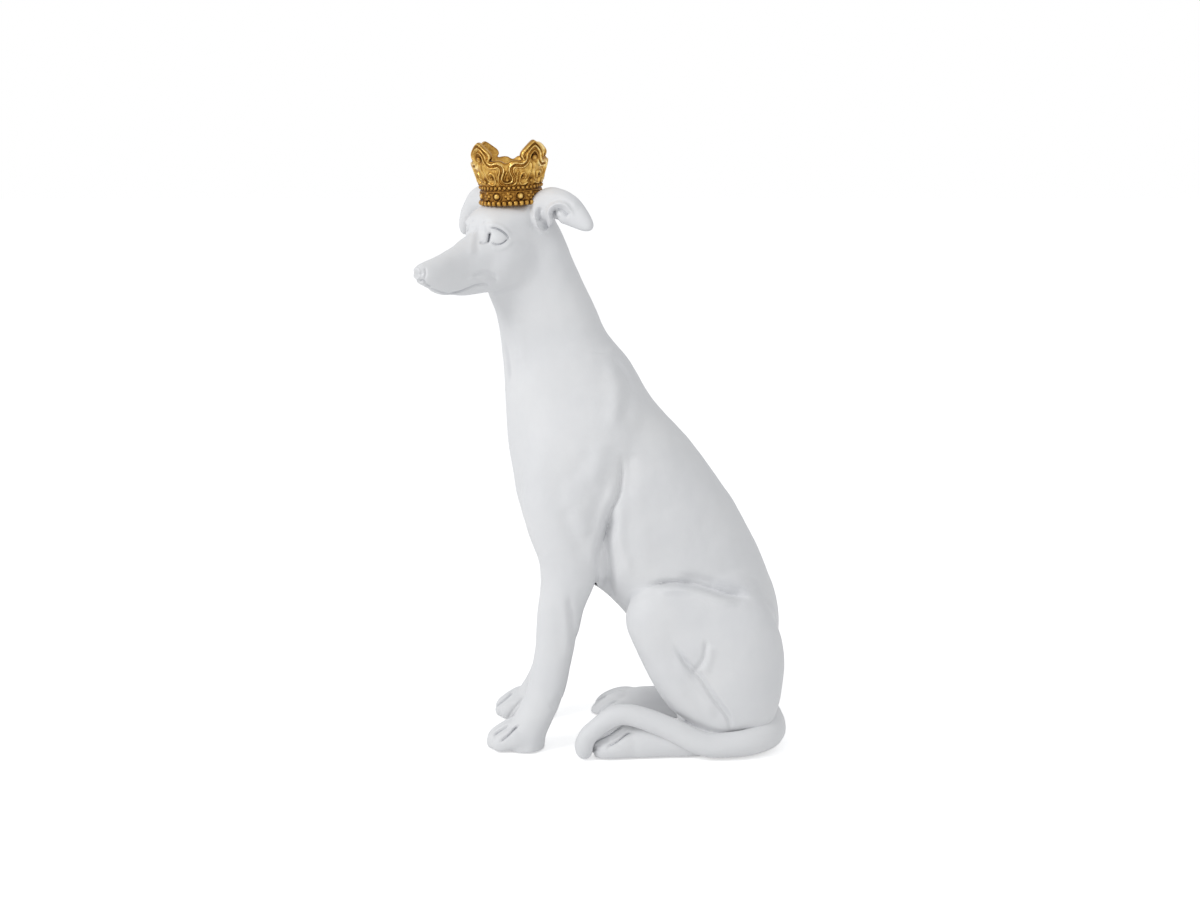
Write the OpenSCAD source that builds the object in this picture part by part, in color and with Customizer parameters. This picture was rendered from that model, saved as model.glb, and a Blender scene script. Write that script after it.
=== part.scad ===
// Sitting sighthound statuette with a crown, cast in hollow resin sections.
// Millimetres. The dog faces -X, its left side is -Y, and it stands on z = 0.
// The origin is under the middle of the whole figure.

/* [Figure] */
// Length from the nose to the back of the tail
figure_l = 228; // [150:1:320]
// Width from the outside of the tail to the outside of the right thigh
figure_w = 108; // [80:1:150]
// Height of the top of the skull, which the crown stands on
figure_h = 336; // [230:1:460]
// Wall of the hollow resin torso
resin_t = 6; // [4:0.5:8]

/* [Head] */
// Length of the head from the back of the skull to the nose
head_l = 91; // [70:1:115]
// Width of the head over the cheeks
head_w = 42; // [34:1:52]
// Depth of the head from the brow to the jaw
head_d = 48; // [38:1:60]
// Extra droop of the right ear, in degrees
right_ear_drop = 9; // [0:1:15]
// Turn of the head towards the dog's left, in degrees
head_turn = 44; // [20:1:55]

/* [Crown] */
// Outer diameter of the band
band_d = 36; // [30:0.5:42]
// Height of the band
band_h = 10.5; // [8:0.5:14]
// Outer diameter over the tops of the leaves
crown_d = 46; // [42:0.5:54]
// Height of the crown at the tips of the leaves
crown_h = 39; // [34:0.5:48]
// Height of the rim between two leaves
dip_h = 23.5; // [18:0.5:26]
// Wall of the crown
crown_t = 2.4; // [1.6:0.1:3]
// Thickness of the floor inside the crown
crown_floor_t = 6; // [5:0.5:7.5]
// Width of a leaf
leaf_w = 14.5; // [12:0.5:16]
// Width of the neck that a leaf stands on
leaf_neck_w = 10; // [6:0.5:12]
// Height of the pointed tip above the round of a leaf
leaf_tip = 1.8; // [1:0.1:3]
// Diameter of the raised rib round the leaves
rib_d = 2; // [1:0.1:2.4]
// Number of leaves
leaf_count = 4; // [3:1:5]
// Forward lean of the crown, in degrees
crown_lean = 5; // [0:1:10]
// Diameter of the beads along the bottom of the band
bead_d = 3; // [2:0.1:3.2]
// Number of beads along the bottom of the band
bead_count = 34; // [20:1:36]
// Diameter of the beads along the top of the band
small_bead_d = 2.1; // [1.5:0.1:2.4]
// Number of beads along the top of the band
small_bead_count = 42; // [30:1:50]
// Diameter of the round studs on the band and the leaves
stud_d = 4.4; // [3:0.1:4.6]
// Number of round studs on the band
stud_count = 8; // [6:1:10]

/* [Pins and rods] */
// Diameter of the pin between the torso and the head
neck_pin_d = 8; // [5:0.5:10]
// Length of the pin between the torso and the head
neck_pin_l = 36; // [24:1:42]
// Diameter of the pin between the head and the crown
crown_pin_d = 5; // [3:0.5:6]
// Length of the pin between the head and the crown
crown_pin_l = 16; // [12:0.5:20]
// Diameter of the steel rod in each foreleg
rod_d = 4; // [3:0.5:6]
// Length of the steel rod in each foreleg
rod_l = 92; // [70:1:100]
// Gap round a pin or rod in its hole, for the glue
pin_gap = 0.15; // [0.1:0.05:0.4]

/* [Base] */
// Thickness of the felt pads
pad_t = 1; // [0.6:0.1:2]
// Diameter of the felt pad under each paw
paw_pad_d = 15; // [10:0.5:18]
// Diameter of the felt pad under the rump
rump_pad_d = 36; // [32:0.5:40]
// Diameter of the plug in the pouring hole
plug_d = 27; // [20:0.5:28]
// Thickness of the plug
plug_t = 5; // [3:0.5:6]
// Width of the ledge above the plug
ledge_w = 2.5; // [1.5:0.5:4]
// Gap round the plug
plug_gap = 0.2; // [0.1:0.05:0.5]

/* [Hidden] */

// Sides of the dog, as signs of Y
LEFT = -1;
RIGHT = 1;
// Facets round the rounded lumps of the body, round the small ones,
// round the beads, the studs and the raised ribs of the crown
lump_fn = 20;
small_fn = 16;
bead_fn = 6;
stud_fn = 8;
rib_fn = 5;
// Facets round the wall of the crown
wall_fn = 36;
// Facets round true cylinders, and round the holes for glued pins and the plug
round_fn = 64;
socket_fn = 24;
// How far a cut runs past what it cuts
overrun = 2;
// Side of a block that is larger than the figure
far = figure_l + figure_w + figure_h;

// The figure is drawn on a grid: this many squares long, wide and high.
grid_shares = [57, 27, 84];
unit = [figure_l / grid_shares.x, figure_w / grid_shares.y, figure_h / grid_shares.z];
// Sideways place of the dog's own middle plane, in squares
middle_share = 1;

// Each row is a rounded lump: place along X, place beside the middle plane,
// height, its half sizes along X, Y and Z, and its tilt in degrees.
// Neck and trunk, from the throat down to the rump
trunk_shares = [
    [-12.9, 0, 75.1, 7.5, 4.7, 2.2, 39],
    [-10.8, 0, 71.0, 7.0, 4.8, 2.2, 19],
    [-9.1, 0, 65.9, 7.7, 5.2, 2.5, 9],
    [-6.9, 0, 60.0, 9.2, 6.0, 2.5, 5],
    [-4.1, 0, 52.8, 11.5, 7.2, 3.0, 3],
    [-1.2, 0, 46.9, 14.0, 8.2, 3.0, 4],
    [2.2, 0, 39.1, 16.3, 9.0, 3.5, 1],
    [6.6, 0, 30.5, 16.7, 9.2, 3.5, 0],
    [12.0, 0, 24.4, 14.1, 8.7, 3.5, -3],
    [14.8, 0, 20.5, 12.3, 8.3, 3.5, -2],
    [17.0, 0, 14.2, 10.7, 8.2, 4.0, 0],
    [18.7, 0, 7.5, 9.0, 8.0, 4.0, 0],
    [19.7, 0, 2.2, 7.6, 7.5, 3.0, 0]];
// Hollow inside the trunk, before the resin wall is taken off
hollow_shares = [
    [-6.6, 0, 60.0, 8.5, 6.0, 2.5, 5],
    [-3.8, 0, 52.8, 11.0, 7.2, 3.0, 3],
    [1.2, 0, 45.0, 12.0, 8.2, 3.5, 4],
    [8.0, 0, 36.0, 11.9, 8.6, 4.0, 1],
    [13.0, 0, 26.5, 11.5, 8.2, 4.0, 0],
    [15.8, 0, 17.0, 9.6, 10.2, 4.5, 0],
    [18.3, 0, 8.0, 8.2, 9.0, 5.0, 0]];
// Shoulder, from the withers down to the elbow
shoulder_shares = [
    [0.9, 4.5, 57.0, 3.5, 2.5, 3.0, 0],
    [-2.1, 5.2, 51.2, 6.0, 3.5, 3.0, 0],
    [-5.1, 5.8, 45.0, 7.0, 4.0, 3.0, 0],
    [-6.1, 6.3, 39.5, 6.8, 4.0, 3.0, 0],
    [-6.3, 6.7, 32.5, 5.5, 3.8, 3.0, 0],
    [-6.0, 7.0, 26.8, 4.5, 3.3, 2.5, 0]];
// Left foreleg, from the elbow down to the paw
left_foreleg_shares = [
    [-6.0, 7.0, 26.8, 4.5, 3.3, 2.5, 0],
    [-7.2, 7.1, 22.5, 3.5, 2.9, 2.2, 0],
    [-8.2, 7.2, 16.2, 3.0, 2.6, 2.2, 0],
    [-9.4, 7.5, 10.0, 3.1, 2.7, 2.2, 0],
    [-11.2, 7.6, 5.2, 3.2, 2.9, 2.4, 0],
    [-13.2, 7.7, 1.8, 3.9, 3.4, 2.6, 0]];
// Right foreleg, which stands a little further back
right_foreleg_shares = [
    [-6.0, 7.0, 26.8, 4.5, 3.3, 2.5, 0],
    [-7.0, 7.1, 22.5, 3.5, 2.9, 2.2, 0],
    [-7.7, 7.2, 16.2, 3.0, 2.6, 2.2, 0],
    [-8.4, 7.3, 10.0, 2.9, 2.7, 2.2, 0],
    [-9.8, 7.3, 5.0, 2.9, 2.9, 2.2, 0],
    [-12.4, 7.3, 1.6, 3.9, 3.4, 2.5, 0]];
// Toes of a forepaw from the outer to the inner one, ahead of the paw's middle
fore_toe_shares = [
    [-2.6, 9.6, 1.4, 1.9, 1.2, 1.6, 0],
    [-3.5, 8.4, 1.7, 2.0, 1.2, 1.8, 0],
    [-3.5, 7.0, 1.7, 2.0, 1.2, 1.8, 0],
    [-2.6, 5.8, 1.4, 1.9, 1.2, 1.6, 0]];
// Thigh, from the knee back to the rump
thigh_shares = [
    [7.1, 8.5, 22.2, 4.4, 3.3, 5.2, 0],
    [17.2, 7.6, 16.6, 10.3, 4.8, 10.6, 0],
    [20.4, 8.4, 6.0, 5.8, 3.8, 5.2, 0]];
// Shank, from the knee down to the hock
shank_shares = [
    [7.1, 8.5, 22.2, 4.4, 3.3, 5.0, 0],
    [9.4, 8.9, 15.5, 3.9, 3.1, 3.8, 0],
    [11.7, 9.1, 10.3, 3.4, 3.0, 3.3, 0],
    [14.4, 9.1, 6.6, 3.3, 3.0, 3.0, 0],
    [18.6, 9.1, 3.4, 2.8, 2.9, 3.0, 0]];
// Hind foot, from the heel to the toes
hind_foot_shares = [
    [18.6, 9.2, 2.2, 2.3, 2.6, 2.5, 0],
    [9.2, 9.3, 2.0, 2.5, 3.0, 2.3, 0],
    [3.4, 9.4, 2.0, 3.2, 3.4, 2.6, 0],
    [0.6, 9.4, 1.8, 2.4, 3.3, 2.2, 0]];
// How far the right hind foot is set back from the left one, in squares
hind_step_share = 1;
// Toes of a hind foot from the outer to the inner one, ahead of the foot's last lump
hind_toe_shares = [
    [-1.6, 11.0, 1.4, 1.7, 1.2, 1.5, 0],
    [-2.3, 9.9, 1.6, 1.8, 1.2, 1.7, 0],
    [-2.3, 8.5, 1.6, 1.8, 1.2, 1.7, 0],
    [-1.6, 7.4, 1.4, 1.7, 1.2, 1.5, 0]];
// Tail from its root round the left side: place along X, place along Y, height, radius
tail_shares = [
    [23.6, 1.0, 4.6, 2.5],
    [25.3, -2.5, 3.8, 2.4],
    [25.8, -6.0, 3.3, 2.4],
    [24.6, -9.4, 2.9, 2.4],
    [21.2, -11.6, 2.4, 2.3],
    [16.4, -12.0, 2.2, 2.2],
    [12.6, -11.8, 3.2, 2.1],
    [8.9, -11.2, 4.9, 1.9],
    [5.6, -10.7, 6.1, 1.6],
    [2.4, -10.7, 6.5, 1.5],
    [-0.6, -11.0, 5.8, 1.5],
    [-2.6, -11.4, 4.3, 1.5],
    [-3.6, -11.4, 2.6, 1.5],
    [-3.2, -11.2, 1.6, 1.5]];

// Centre of the head, in squares along X, Y and Z
head_place_shares = [-15.1, 0.2, 79.5];
// Lumps of the head: place forward and up, half length, half width and half depth,
// as shares of the head's length, width and depth
skull_shares = [
    [-0.17, -0.03, 0.05, 0.30, 0.27],
    [-0.07, -0.06, 0.09, 0.44, 0.41],
    [0.04, -0.10, 0.10, 0.50, 0.49],
    [0.17, -0.15, 0.10, 0.46, 0.46],
    [0.29, -0.25, 0.08, 0.36, 0.39],
    [0.42, -0.36, 0.07, 0.26, 0.30],
    [0.54, -0.42, 0.07, 0.22, 0.24],
    [0.66, -0.45, 0.06, 0.19, 0.20],
    [0.72, -0.41, 0.05, 0.16, 0.16],
    [0.76, -0.36, 0.02, 0.11, 0.10]];
// Lumps of an ear: place forward, outward and up, half length, half width
// and half depth, as shares of the head's length
ear_shares = [
    [-0.03, 0.18, 0.11, 0.10, 0.06, 0.12],
    [-0.05, 0.25, 0.22, 0.11, 0.05, 0.10],
    [-0.08, 0.35, 0.25, 0.12, 0.05, 0.08],
    [-0.12, 0.47, 0.21, 0.11, 0.05, 0.08],
    [-0.15, 0.56, 0.13, 0.07, 0.04, 0.07],
    [-0.16, 0.61, 0.07, 0.02, 0.02, 0.03]];
// Cut between torso and head: a point on it in squares, and its lean in degrees
neck_cut_shares = [-11.6, 0, 73.0];
neck_cut_lean = 27;
// Height of the cut between shoulder and foreleg, in squares
elbow_cut_share = 26;
// Place along X and top of the cut between a hind foot and its shank, in squares
ankle_cut_share = 11.1;
ankle_top_share = 6.6;
// Centre of the pouring hole along X, in squares
plug_place_share = 19.4;
// Centres of the pads, in squares along X and beside the middle plane
fore_pad_shares = [-13.6, 7.7];
hind_pad_shares = [3.6, 9];
// Lower end of a foreleg rod in squares, and its lean back in degrees
rod_foot_shares = [-9.0, 7.4, 9.5];
rod_lean = 10.5;
// Centre of the crown's base, in squares along X, Y and Z
crown_place_shares = [-14.6, 0.2, 84.0];
// Turn of the first leaf round the crown, in degrees
first_leaf = -96;
// Angle between leaves
leaf_step = 360 / leaf_count;
// Outline of the wall above the band: shares of the wall's height and of its flare
wall_shares = [[0, 0], [0.2, 0.22], [0.4, 0.6], [0.58, 0.92], [0.7, 1], [0.85, 0.94], [1, 0.72]];
// Route of the raised rib from a leaf's tip to the middle of the next dip:
// shares of the angle between leaves and of the crown's height
rib_shares = [[0, 0.97], [0.09, 0.91], [0.18, 0.82], [0.18, 0.72], [0.13, 0.64], [0.16, 0.58],
    [0.25, 0.56], [0.34, 0.59], [0.4, 0.56], [0.41, 0.48], [0.4, 0.4], [0.44, 0.33], [0.5, 0.31]];

middle_y = middle_share * unit.y;
pouring_d = plug_d - 2 * ledge_w;
pouring_h = hollow_shares[len(hollow_shares) - 1].z * unit.z - pad_t;
crown_at = [for (i = [0:2]) crown_place_shares[i] * unit[i]];
crown_r = crown_d / 2;
band_r = band_d / 2;
flare = crown_r - band_r;
wall_h = crown_h - band_h;
leaf_z = crown_h - leaf_tip - leaf_w / 2;
stud_z = (bead_d + band_h - small_bead_d) / 2;

// How far a hind foot is set back
function hind_step(side) = side == RIGHT ? hind_step_share * unit.x : 0;

// One lump of a table row on one side of the dog, thinner all round by inset
module lump(row, side, inset, fn) {
    half = [row[3] * unit.x - inset, row[4] * unit.y - inset, row[5] * unit.z - inset];
    translate([row.x * unit.x, middle_y + side * row.y * unit.y, row.z * unit.z])
        rotate([0, -row[6], 0])
            scale(half)
                sphere(1, $fn = fn);
}

// The lumps of a table joined one to the next
module limb(rows, side = RIGHT, inset = 0, fn = small_fn) {
    for (i = [0:len(rows) - 2]) {
        hull() {
            lump(rows[i], side, inset, fn);
            lump(rows[i + 1], side, inset, fn);
        }
    }
}

// The toes of a paw, each joined to the paw's own lump
module toes(rows, paw, side) {
    for (row = rows) {
        toe = [paw.x + row.x, row.y, row.z, row[3], row[4], row[5], 0];
        root = [paw.x, (row.y + paw.y) / 2, paw.z, row[3], row[4], row[5], 0];
        hull() {
            lump(toe, side, 0, small_fn);
            lump(root, side, 0, small_fn);
        }
    }
}

// Everything above a height
module above(z) {
    translate([-far / 2, -far / 2, z])
        cube(far);
}

// Puts its children on the cut through the neck, along the neck
module on_neck_cut() {
    translate([neck_cut_shares.x * unit.x, middle_y, neck_cut_shares.z * unit.z])
        rotate([0, -neck_cut_lean, 0])
            children();
}

// Everything on the head's side of the cut through the neck
module head_side() {
    on_neck_cut()
        above(0);
}

// Everything on the torso's side of the cut through the neck
module body_side() {
    on_neck_cut()
        mirror([0, 0, 1])
            above(0);
}

// Everything below the cut through the elbow
module elbow_side() {
    translate([0, 0, elbow_cut_share * unit.z])
        mirror([0, 0, 1])
            above(0);
}

// The block in front of the cut through the ankle
module foot_side() {
    translate([ankle_cut_share * unit.x - far, -far / 2, -far + ankle_top_share * unit.z])
        cube(far);
}

// Outer form of the neck and trunk
module trunk_form() {
    limb(trunk_shares, fn = lump_fn);
}

// Outer form of one haunch, without the front of its foot
module haunch_form(side) {
    limb(thigh_shares, side, fn = lump_fn);
    limb(shank_shares, side);
    difference() {
        translate([hind_step(side), 0, 0])
            limb(hind_foot_shares, side);
        foot_side();
    }
}

// Outer form of the whole torso above the floor
module torso_form() {
    difference() {
        union() {
            trunk_form();
            for (side = [LEFT, RIGHT]) {
                haunch_form(side);
                difference() {
                    limb(shoulder_shares, side);
                    elbow_side();
                }
            }
        }
        head_side();
        mirror([0, 0, 1])
            above(-pad_t);
    }
}

// A cylinder along the neck, across the cut
module neck_rod(d, l, fn = round_fn) {
    on_neck_cut()
        cylinder(h = l, d = d, center = true, $fn = fn);
}

// A cylinder up the middle of a foreleg
module leg_rod(side, d, end_gap, fn = round_fn) {
    translate([rod_foot_shares.x * unit.x, middle_y + side * rod_foot_shares.y * unit.y,
            rod_foot_shares.z * unit.z])
        rotate([0, rod_lean, 0])
            translate([0, 0, -end_gap])
                cylinder(h = rod_l + 2 * end_gap, d = d, $fn = fn);
}

// Puts its children on the underside of the rump, at the pouring hole
module at_pouring_hole() {
    translate([plug_place_share * unit.x, middle_y, pad_t])
        children();
}

// The pouring hole, with the seat of the plug below its ledge
module pouring_hole() {
    at_pouring_hole() {
        translate([0, 0, -overrun])
            cylinder(h = plug_t + plug_gap + overrun, d = plug_d + 2 * plug_gap, $fn = socket_fn);
        cylinder(h = pouring_h, d = pouring_d, $fn = socket_fn);
    }
}

module torso() {
    color("whitesmoke")
        difference() {
            torso_form();
            limb(hollow_shares, inset = resin_t);
            neck_rod(neck_pin_d + 2 * pin_gap, neck_pin_l + 2 * pin_gap, socket_fn);
            for (side = [LEFT, RIGHT])
                leg_rod(side, rod_d + 2 * pin_gap, pin_gap, socket_fn);
            pouring_hole();
        }
}

// Puts its children in the head's own frame: facing -X, then turned
module in_head() {
    translate([for (i = [0:2]) head_place_shares[i] * unit[i]])
        rotate([0, 0, head_turn])
            children();
}

// One lump of the head
module head_lump(row) {
    translate([-row[0] * head_l, 0, row[1] * head_d])
        scale([row[2] * head_l, row[3] * head_w, row[4] * head_d])
            sphere(1, $fn = lump_fn);
}

// Outer form of the head down to the cut through the neck
module head_form() {
    difference() {
        union() {
            in_head()
                for (i = [0:len(skull_shares) - 2])
                    hull() {
                        head_lump(skull_shares[i]);
                        head_lump(skull_shares[i + 1]);
                    }
            limb(trunk_shares, fn = lump_fn);
            hull() {
                lump(trunk_shares[0], RIGHT, 0, lump_fn);
                in_head()
                    head_lump(skull_shares[1]);
            }
        }
        body_side();
        crown_seat();
    }
}

// Puts its children on the crown's base, leaning forward
module on_crown_base() {
    translate(crown_at)
        rotate([0, 0, head_turn])
            rotate([0, -crown_lean, 0])
                children();
}

// The room that the crown takes up on the head
module crown_seat() {
    on_crown_base()
        cylinder(h = crown_h, r = crown_r + bead_d, $fn = socket_fn);
}

// The hole for the pin between head and crown
module crown_pin_socket() {
    on_crown_base()
        cylinder(h = crown_pin_l + 2 * pin_gap, d = crown_pin_d + 2 * pin_gap,
            center = true, $fn = socket_fn);
}

module head() {
    color("whitesmoke")
        difference() {
            head_form();
            neck_rod(neck_pin_d + 2 * pin_gap, neck_pin_l + 2 * pin_gap, socket_fn);
            crown_pin_socket();
        }
}

// Where an ear leaves the head, in the head's own frame
function ear_root(side) = let(root = ear_shares[0]) [-root.x, side * root.y, root.z] * head_l;

// One ear, cut by the head and by the crown above it
module ear(side) {
    color("whitesmoke")
        difference() {
            in_head()
                translate(ear_root(side))
                    rotate([side == RIGHT ? -right_ear_drop : 0, 0, 0])
                        translate(-ear_root(side))
                            for (i = [0:len(ear_shares) - 2])
                                hull() {
                                    ear_lump(ear_shares[i], side);
                                    ear_lump(ear_shares[i + 1], side);
                                }
            head_form();
            crown_seat();
        }
}

// One lump of an ear
module ear_lump(row, side) {
    translate([-row[0], side * row[1], row[2]] * head_l)
        scale([row[3], row[4], row[5]] * head_l)
            sphere(1, $fn = small_fn);
}

module left_ear() {
    ear(LEFT);
}

module right_ear() {
    ear(RIGHT);
}

// One foreleg below the elbow, with its paw, its rod hole and its flat sole
module foreleg(side, rows) {
    color("whitesmoke")
        difference() {
            union() {
                limb(rows, side);
                toes(fore_toe_shares, rows[len(rows) - 1], side);
            }
            above(elbow_cut_share * unit.z);
            mirror([0, 0, 1])
                above(-pad_t);
            trunk_form();
            leg_rod(side, rod_d + 2 * pin_gap, pin_gap, socket_fn);
        }
}

module left_foreleg() {
    foreleg(LEFT, left_foreleg_shares);
}

module right_foreleg() {
    foreleg(RIGHT, right_foreleg_shares);
}

// The front of a hind foot, with its toes and its flat sole
module hind_foot(side) {
    color("whitesmoke")
        difference() {
            intersection() {
                translate([hind_step(side), 0, 0]) {
                    limb(hind_foot_shares, side);
                    toes(hind_toe_shares, hind_foot_shares[len(hind_foot_shares) - 1], side);
                }
                foot_side();
            }
            mirror([0, 0, 1])
                above(-pad_t);
            limb(shank_shares, side);
            trunk_form();
        }
}

module left_hind_foot() {
    hind_foot(LEFT);
}

module right_hind_foot() {
    hind_foot(RIGHT);
}

// Outer form of the tail, before the body is cut out of it
module tail_form() {
    for (i = [0:len(tail_shares) - 2])
        hull() {
            tail_ball(tail_shares[i]);
            tail_ball(tail_shares[i + 1]);
        }
}

// One ball of the tail
module tail_ball(row) {
    translate([row.x * unit.x, row.y * unit.y, row.z * unit.z])
        sphere(row[3] * unit.z, $fn = small_fn);
}

module tail() {
    color("whitesmoke")
        difference() {
            tail_form();
            torso_form();
            hind_foot(LEFT);
            mirror([0, 0, 1])
                above(-pad_t);
        }
}

// Radius of the crown's outside at a height
function wall_r(z) = band_r + flare * lookup((z - band_h) / wall_h, wall_shares);

// A point on the crown's outside, by its turn from the first leaf and its height
function on_wall(turn, z) =
    [wall_r(z) * cos(first_leaf + turn), wall_r(z) * sin(first_leaf + turn), z];

// The flared wall, its floor and its band, as one turned ring
module crown_ring() {
    outer = [for (p = wall_shares) [band_r + p[1] * flare, band_h + p[0] * wall_h]];
    inner = [for (i = [len(outer) - 1:-1:0]) outer[i] - [crown_t, 0]];
    rotate_extrude($fn = wall_fn)
        polygon(concat([[0, 0], [band_r, 0]], outer, inner,
            [[band_r - crown_t, crown_floor_t], [0, crown_floor_t]]));
}

// The outline of one leaf, seen from outside, on its neck
module leaf_outline() {
    translate([0, leaf_z])
        circle(d = leaf_w, $fn = lump_fn);
    translate([0, crown_h])
        rotate(-135)
            square(leaf_w / 2);
    translate([-leaf_neck_w / 2, 0])
        square([leaf_neck_w, leaf_z]);
}

// The crown's wall up to the rim, with the leaves above it
module crown_wall() {
    intersection() {
        crown_ring();
        union() {
            cylinder(h = dip_h, d = 2 * crown_d, $fn = wall_fn);
            for (i = [0:leaf_count - 1])
                rotate([90, 0, 90 + first_leaf + i * leaf_step])
                    linear_extrude(crown_d)
                        leaf_outline();
        }
    }
}

// A ring of beads round the crown
module beads(count, d, r, z, fn = bead_fn) {
    for (i = [0:count - 1])
        rotate([0, 0, first_leaf + i * 360 / count])
            translate([r, 0, z])
                sphere(d = d, $fn = fn);
}

// The raised rib that follows the leaves and hangs as a loop between them
module crown_rib() {
    for (i = [0:leaf_count - 1], s = [-1, 1], k = [0:len(rib_shares) - 2]) {
        hull() {
            for (p = [rib_shares[k], rib_shares[k + 1]])
                translate(on_wall((i + s * p[0]) * leaf_step, p[1] * crown_h))
                    sphere(d = rib_d, $fn = rib_fn);
        }
    }
}

module crown() {
    color("goldenrod")
        difference() {
            on_crown_base() {
                crown_wall();
                crown_rib();
                beads(bead_count, bead_d, band_r, bead_d / 2);
                beads(small_bead_count, small_bead_d, band_r, band_h - small_bead_d / 2);
                beads(stud_count, stud_d, band_r - stud_d / 4, stud_z, stud_fn);
                beads(leaf_count, stud_d, crown_r - stud_d / 4, leaf_z, stud_fn);
            }
            crown_pin_socket();
        }
}

module neck_pin() {
    color("silver")
        neck_rod(neck_pin_d, neck_pin_l);
}

module crown_pin() {
    color("silver")
        on_crown_base()
            cylinder(h = crown_pin_l, d = crown_pin_d, center = true, $fn = round_fn);
}

module left_foreleg_rod() {
    color("silver")
        leg_rod(LEFT, rod_d, 0);
}

module right_foreleg_rod() {
    color("silver")
        leg_rod(RIGHT, rod_d, 0);
}

module base_plug() {
    color("gainsboro")
        at_pouring_hole()
            cylinder(h = plug_t, d = plug_d, $fn = round_fn);
}

// A felt pad under a place given in squares
module pad(place, side, d) {
    color("lightgray")
        translate([place.x * unit.x, middle_y + side * place.y * unit.y, 0])
            cylinder(h = pad_t, d = d, $fn = round_fn);
}

module left_fore_pad() {
    pad(fore_pad_shares, LEFT, paw_pad_d);
}

module right_fore_pad() {
    pad(fore_pad_shares, RIGHT, paw_pad_d);
}

module left_hind_pad() {
    pad(hind_pad_shares, LEFT, paw_pad_d);
}

module right_hind_pad() {
    pad(hind_pad_shares, RIGHT, paw_pad_d);
}

module rump_pad() {
    pad([plug_place_share, 0], RIGHT, rump_pad_d);
}

torso();
head();
left_ear();
right_ear();
left_foreleg();
right_foreleg();
left_hind_foot();
right_hind_foot();
tail();
crown();
neck_pin();
crown_pin();
left_foreleg_rod();
right_foreleg_rod();
base_plug();
left_fore_pad();
right_fore_pad();
left_hind_pad();
right_hind_pad();
rump_pad();
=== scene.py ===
import math
import bmesh
import bpy
import numpy as np
import openvdb
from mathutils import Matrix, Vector


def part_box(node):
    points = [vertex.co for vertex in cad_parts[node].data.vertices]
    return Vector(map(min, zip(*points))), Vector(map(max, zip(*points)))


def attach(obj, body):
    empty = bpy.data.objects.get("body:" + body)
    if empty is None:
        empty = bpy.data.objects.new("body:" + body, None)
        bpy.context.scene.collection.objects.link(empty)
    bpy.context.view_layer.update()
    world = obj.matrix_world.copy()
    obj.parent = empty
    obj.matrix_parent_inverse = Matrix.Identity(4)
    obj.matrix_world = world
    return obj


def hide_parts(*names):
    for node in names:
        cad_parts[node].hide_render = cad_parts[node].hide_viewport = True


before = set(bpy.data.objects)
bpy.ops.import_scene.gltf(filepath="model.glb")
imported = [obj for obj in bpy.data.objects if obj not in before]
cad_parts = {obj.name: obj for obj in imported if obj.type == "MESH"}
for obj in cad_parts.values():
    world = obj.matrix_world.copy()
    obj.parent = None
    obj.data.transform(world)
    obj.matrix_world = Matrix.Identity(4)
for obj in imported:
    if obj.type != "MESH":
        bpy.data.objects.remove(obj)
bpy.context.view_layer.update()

# Units and places, in millimetres and degrees, in the frame's own axes
MM = 0.001
MIDDLE = 4.0                    # y of the dog's middle plane
PAD_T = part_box("rump_pad")[1][2] / MM
NECK_CUT = (-46.4, 4.0, 292.0)  # a point of the joint between neck and head
NECK_TILT = 27.0
ELBOW_Z = 104.0
LEG_BACK_X = -6.0
ANKLE_X = 44.4
ANKLE_Z = 26.4
FOOT_INNER = 18.0
HEAD_AT = np.array([-60.4, 0.8, 318.0])
HEAD_TURN = 44.0
EAR_CUT = (0.0, 0.8, 0.6)       # direction across the ear's root: forward, outward, up
EAR_CUT_AT = 19.8
EAR_BACK_AT = -11.5             # the ears are carved only ahead of here, and this slopes back further out
EAR_BACK_OUT = 24.5
EAR_BACK_SLOPE = 0.26

# The camera of the photograph
CAMERA_AT = np.array([-4.5, -1265.8, 446.5])
CAMERA_DOWN = 11.7
LENS = 62.6
SENSOR = 36.0
SKY_COLOUR = (0.97, 0.985, 1.0)
SKY_STRENGTH = 0.60
FLOOR_HALF = 4.0
FLOOR_GLOW = 0.5
PHOTO_PLANE_Y = 4.25            # marks are given where the camera's rays cross this plane

# Sizes of the sculpting grid
BODY_VOXEL = 1.25
LIMB_VOXEL = 0.7
HEAD_VOXEL = 0.46
CROWN_VOXEL = 0.4
BLOCK = 4                       # fine voxels on each side of a coarse block
REACH = 16.0                    # how far from its box a form is still worked out
TABLE_STEP = 0.5
TAPER_REACH = 1.4               # the taper of a form counts up to about this share of its size outside it
HOLLOW_REACHES = (1.2,)         # how far out of the resin's surface its hollows are felt for
GILT_REACHES = (-0.9, 0.7, 1.5, 2.8)   # the same for the crown, and inwards for its ridges

# Unevenness of the modelled skin: its height and wave length, and the ways the waves run
HAND_MARKS = [(0.30, 34.0), (0.10, 12.0)]
MARK_WAYS = np.array([[0.8, -0.6, 0.1], [0.3, 0.5, 0.8], [-0.5, -0.6, 0.6]])

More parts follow.
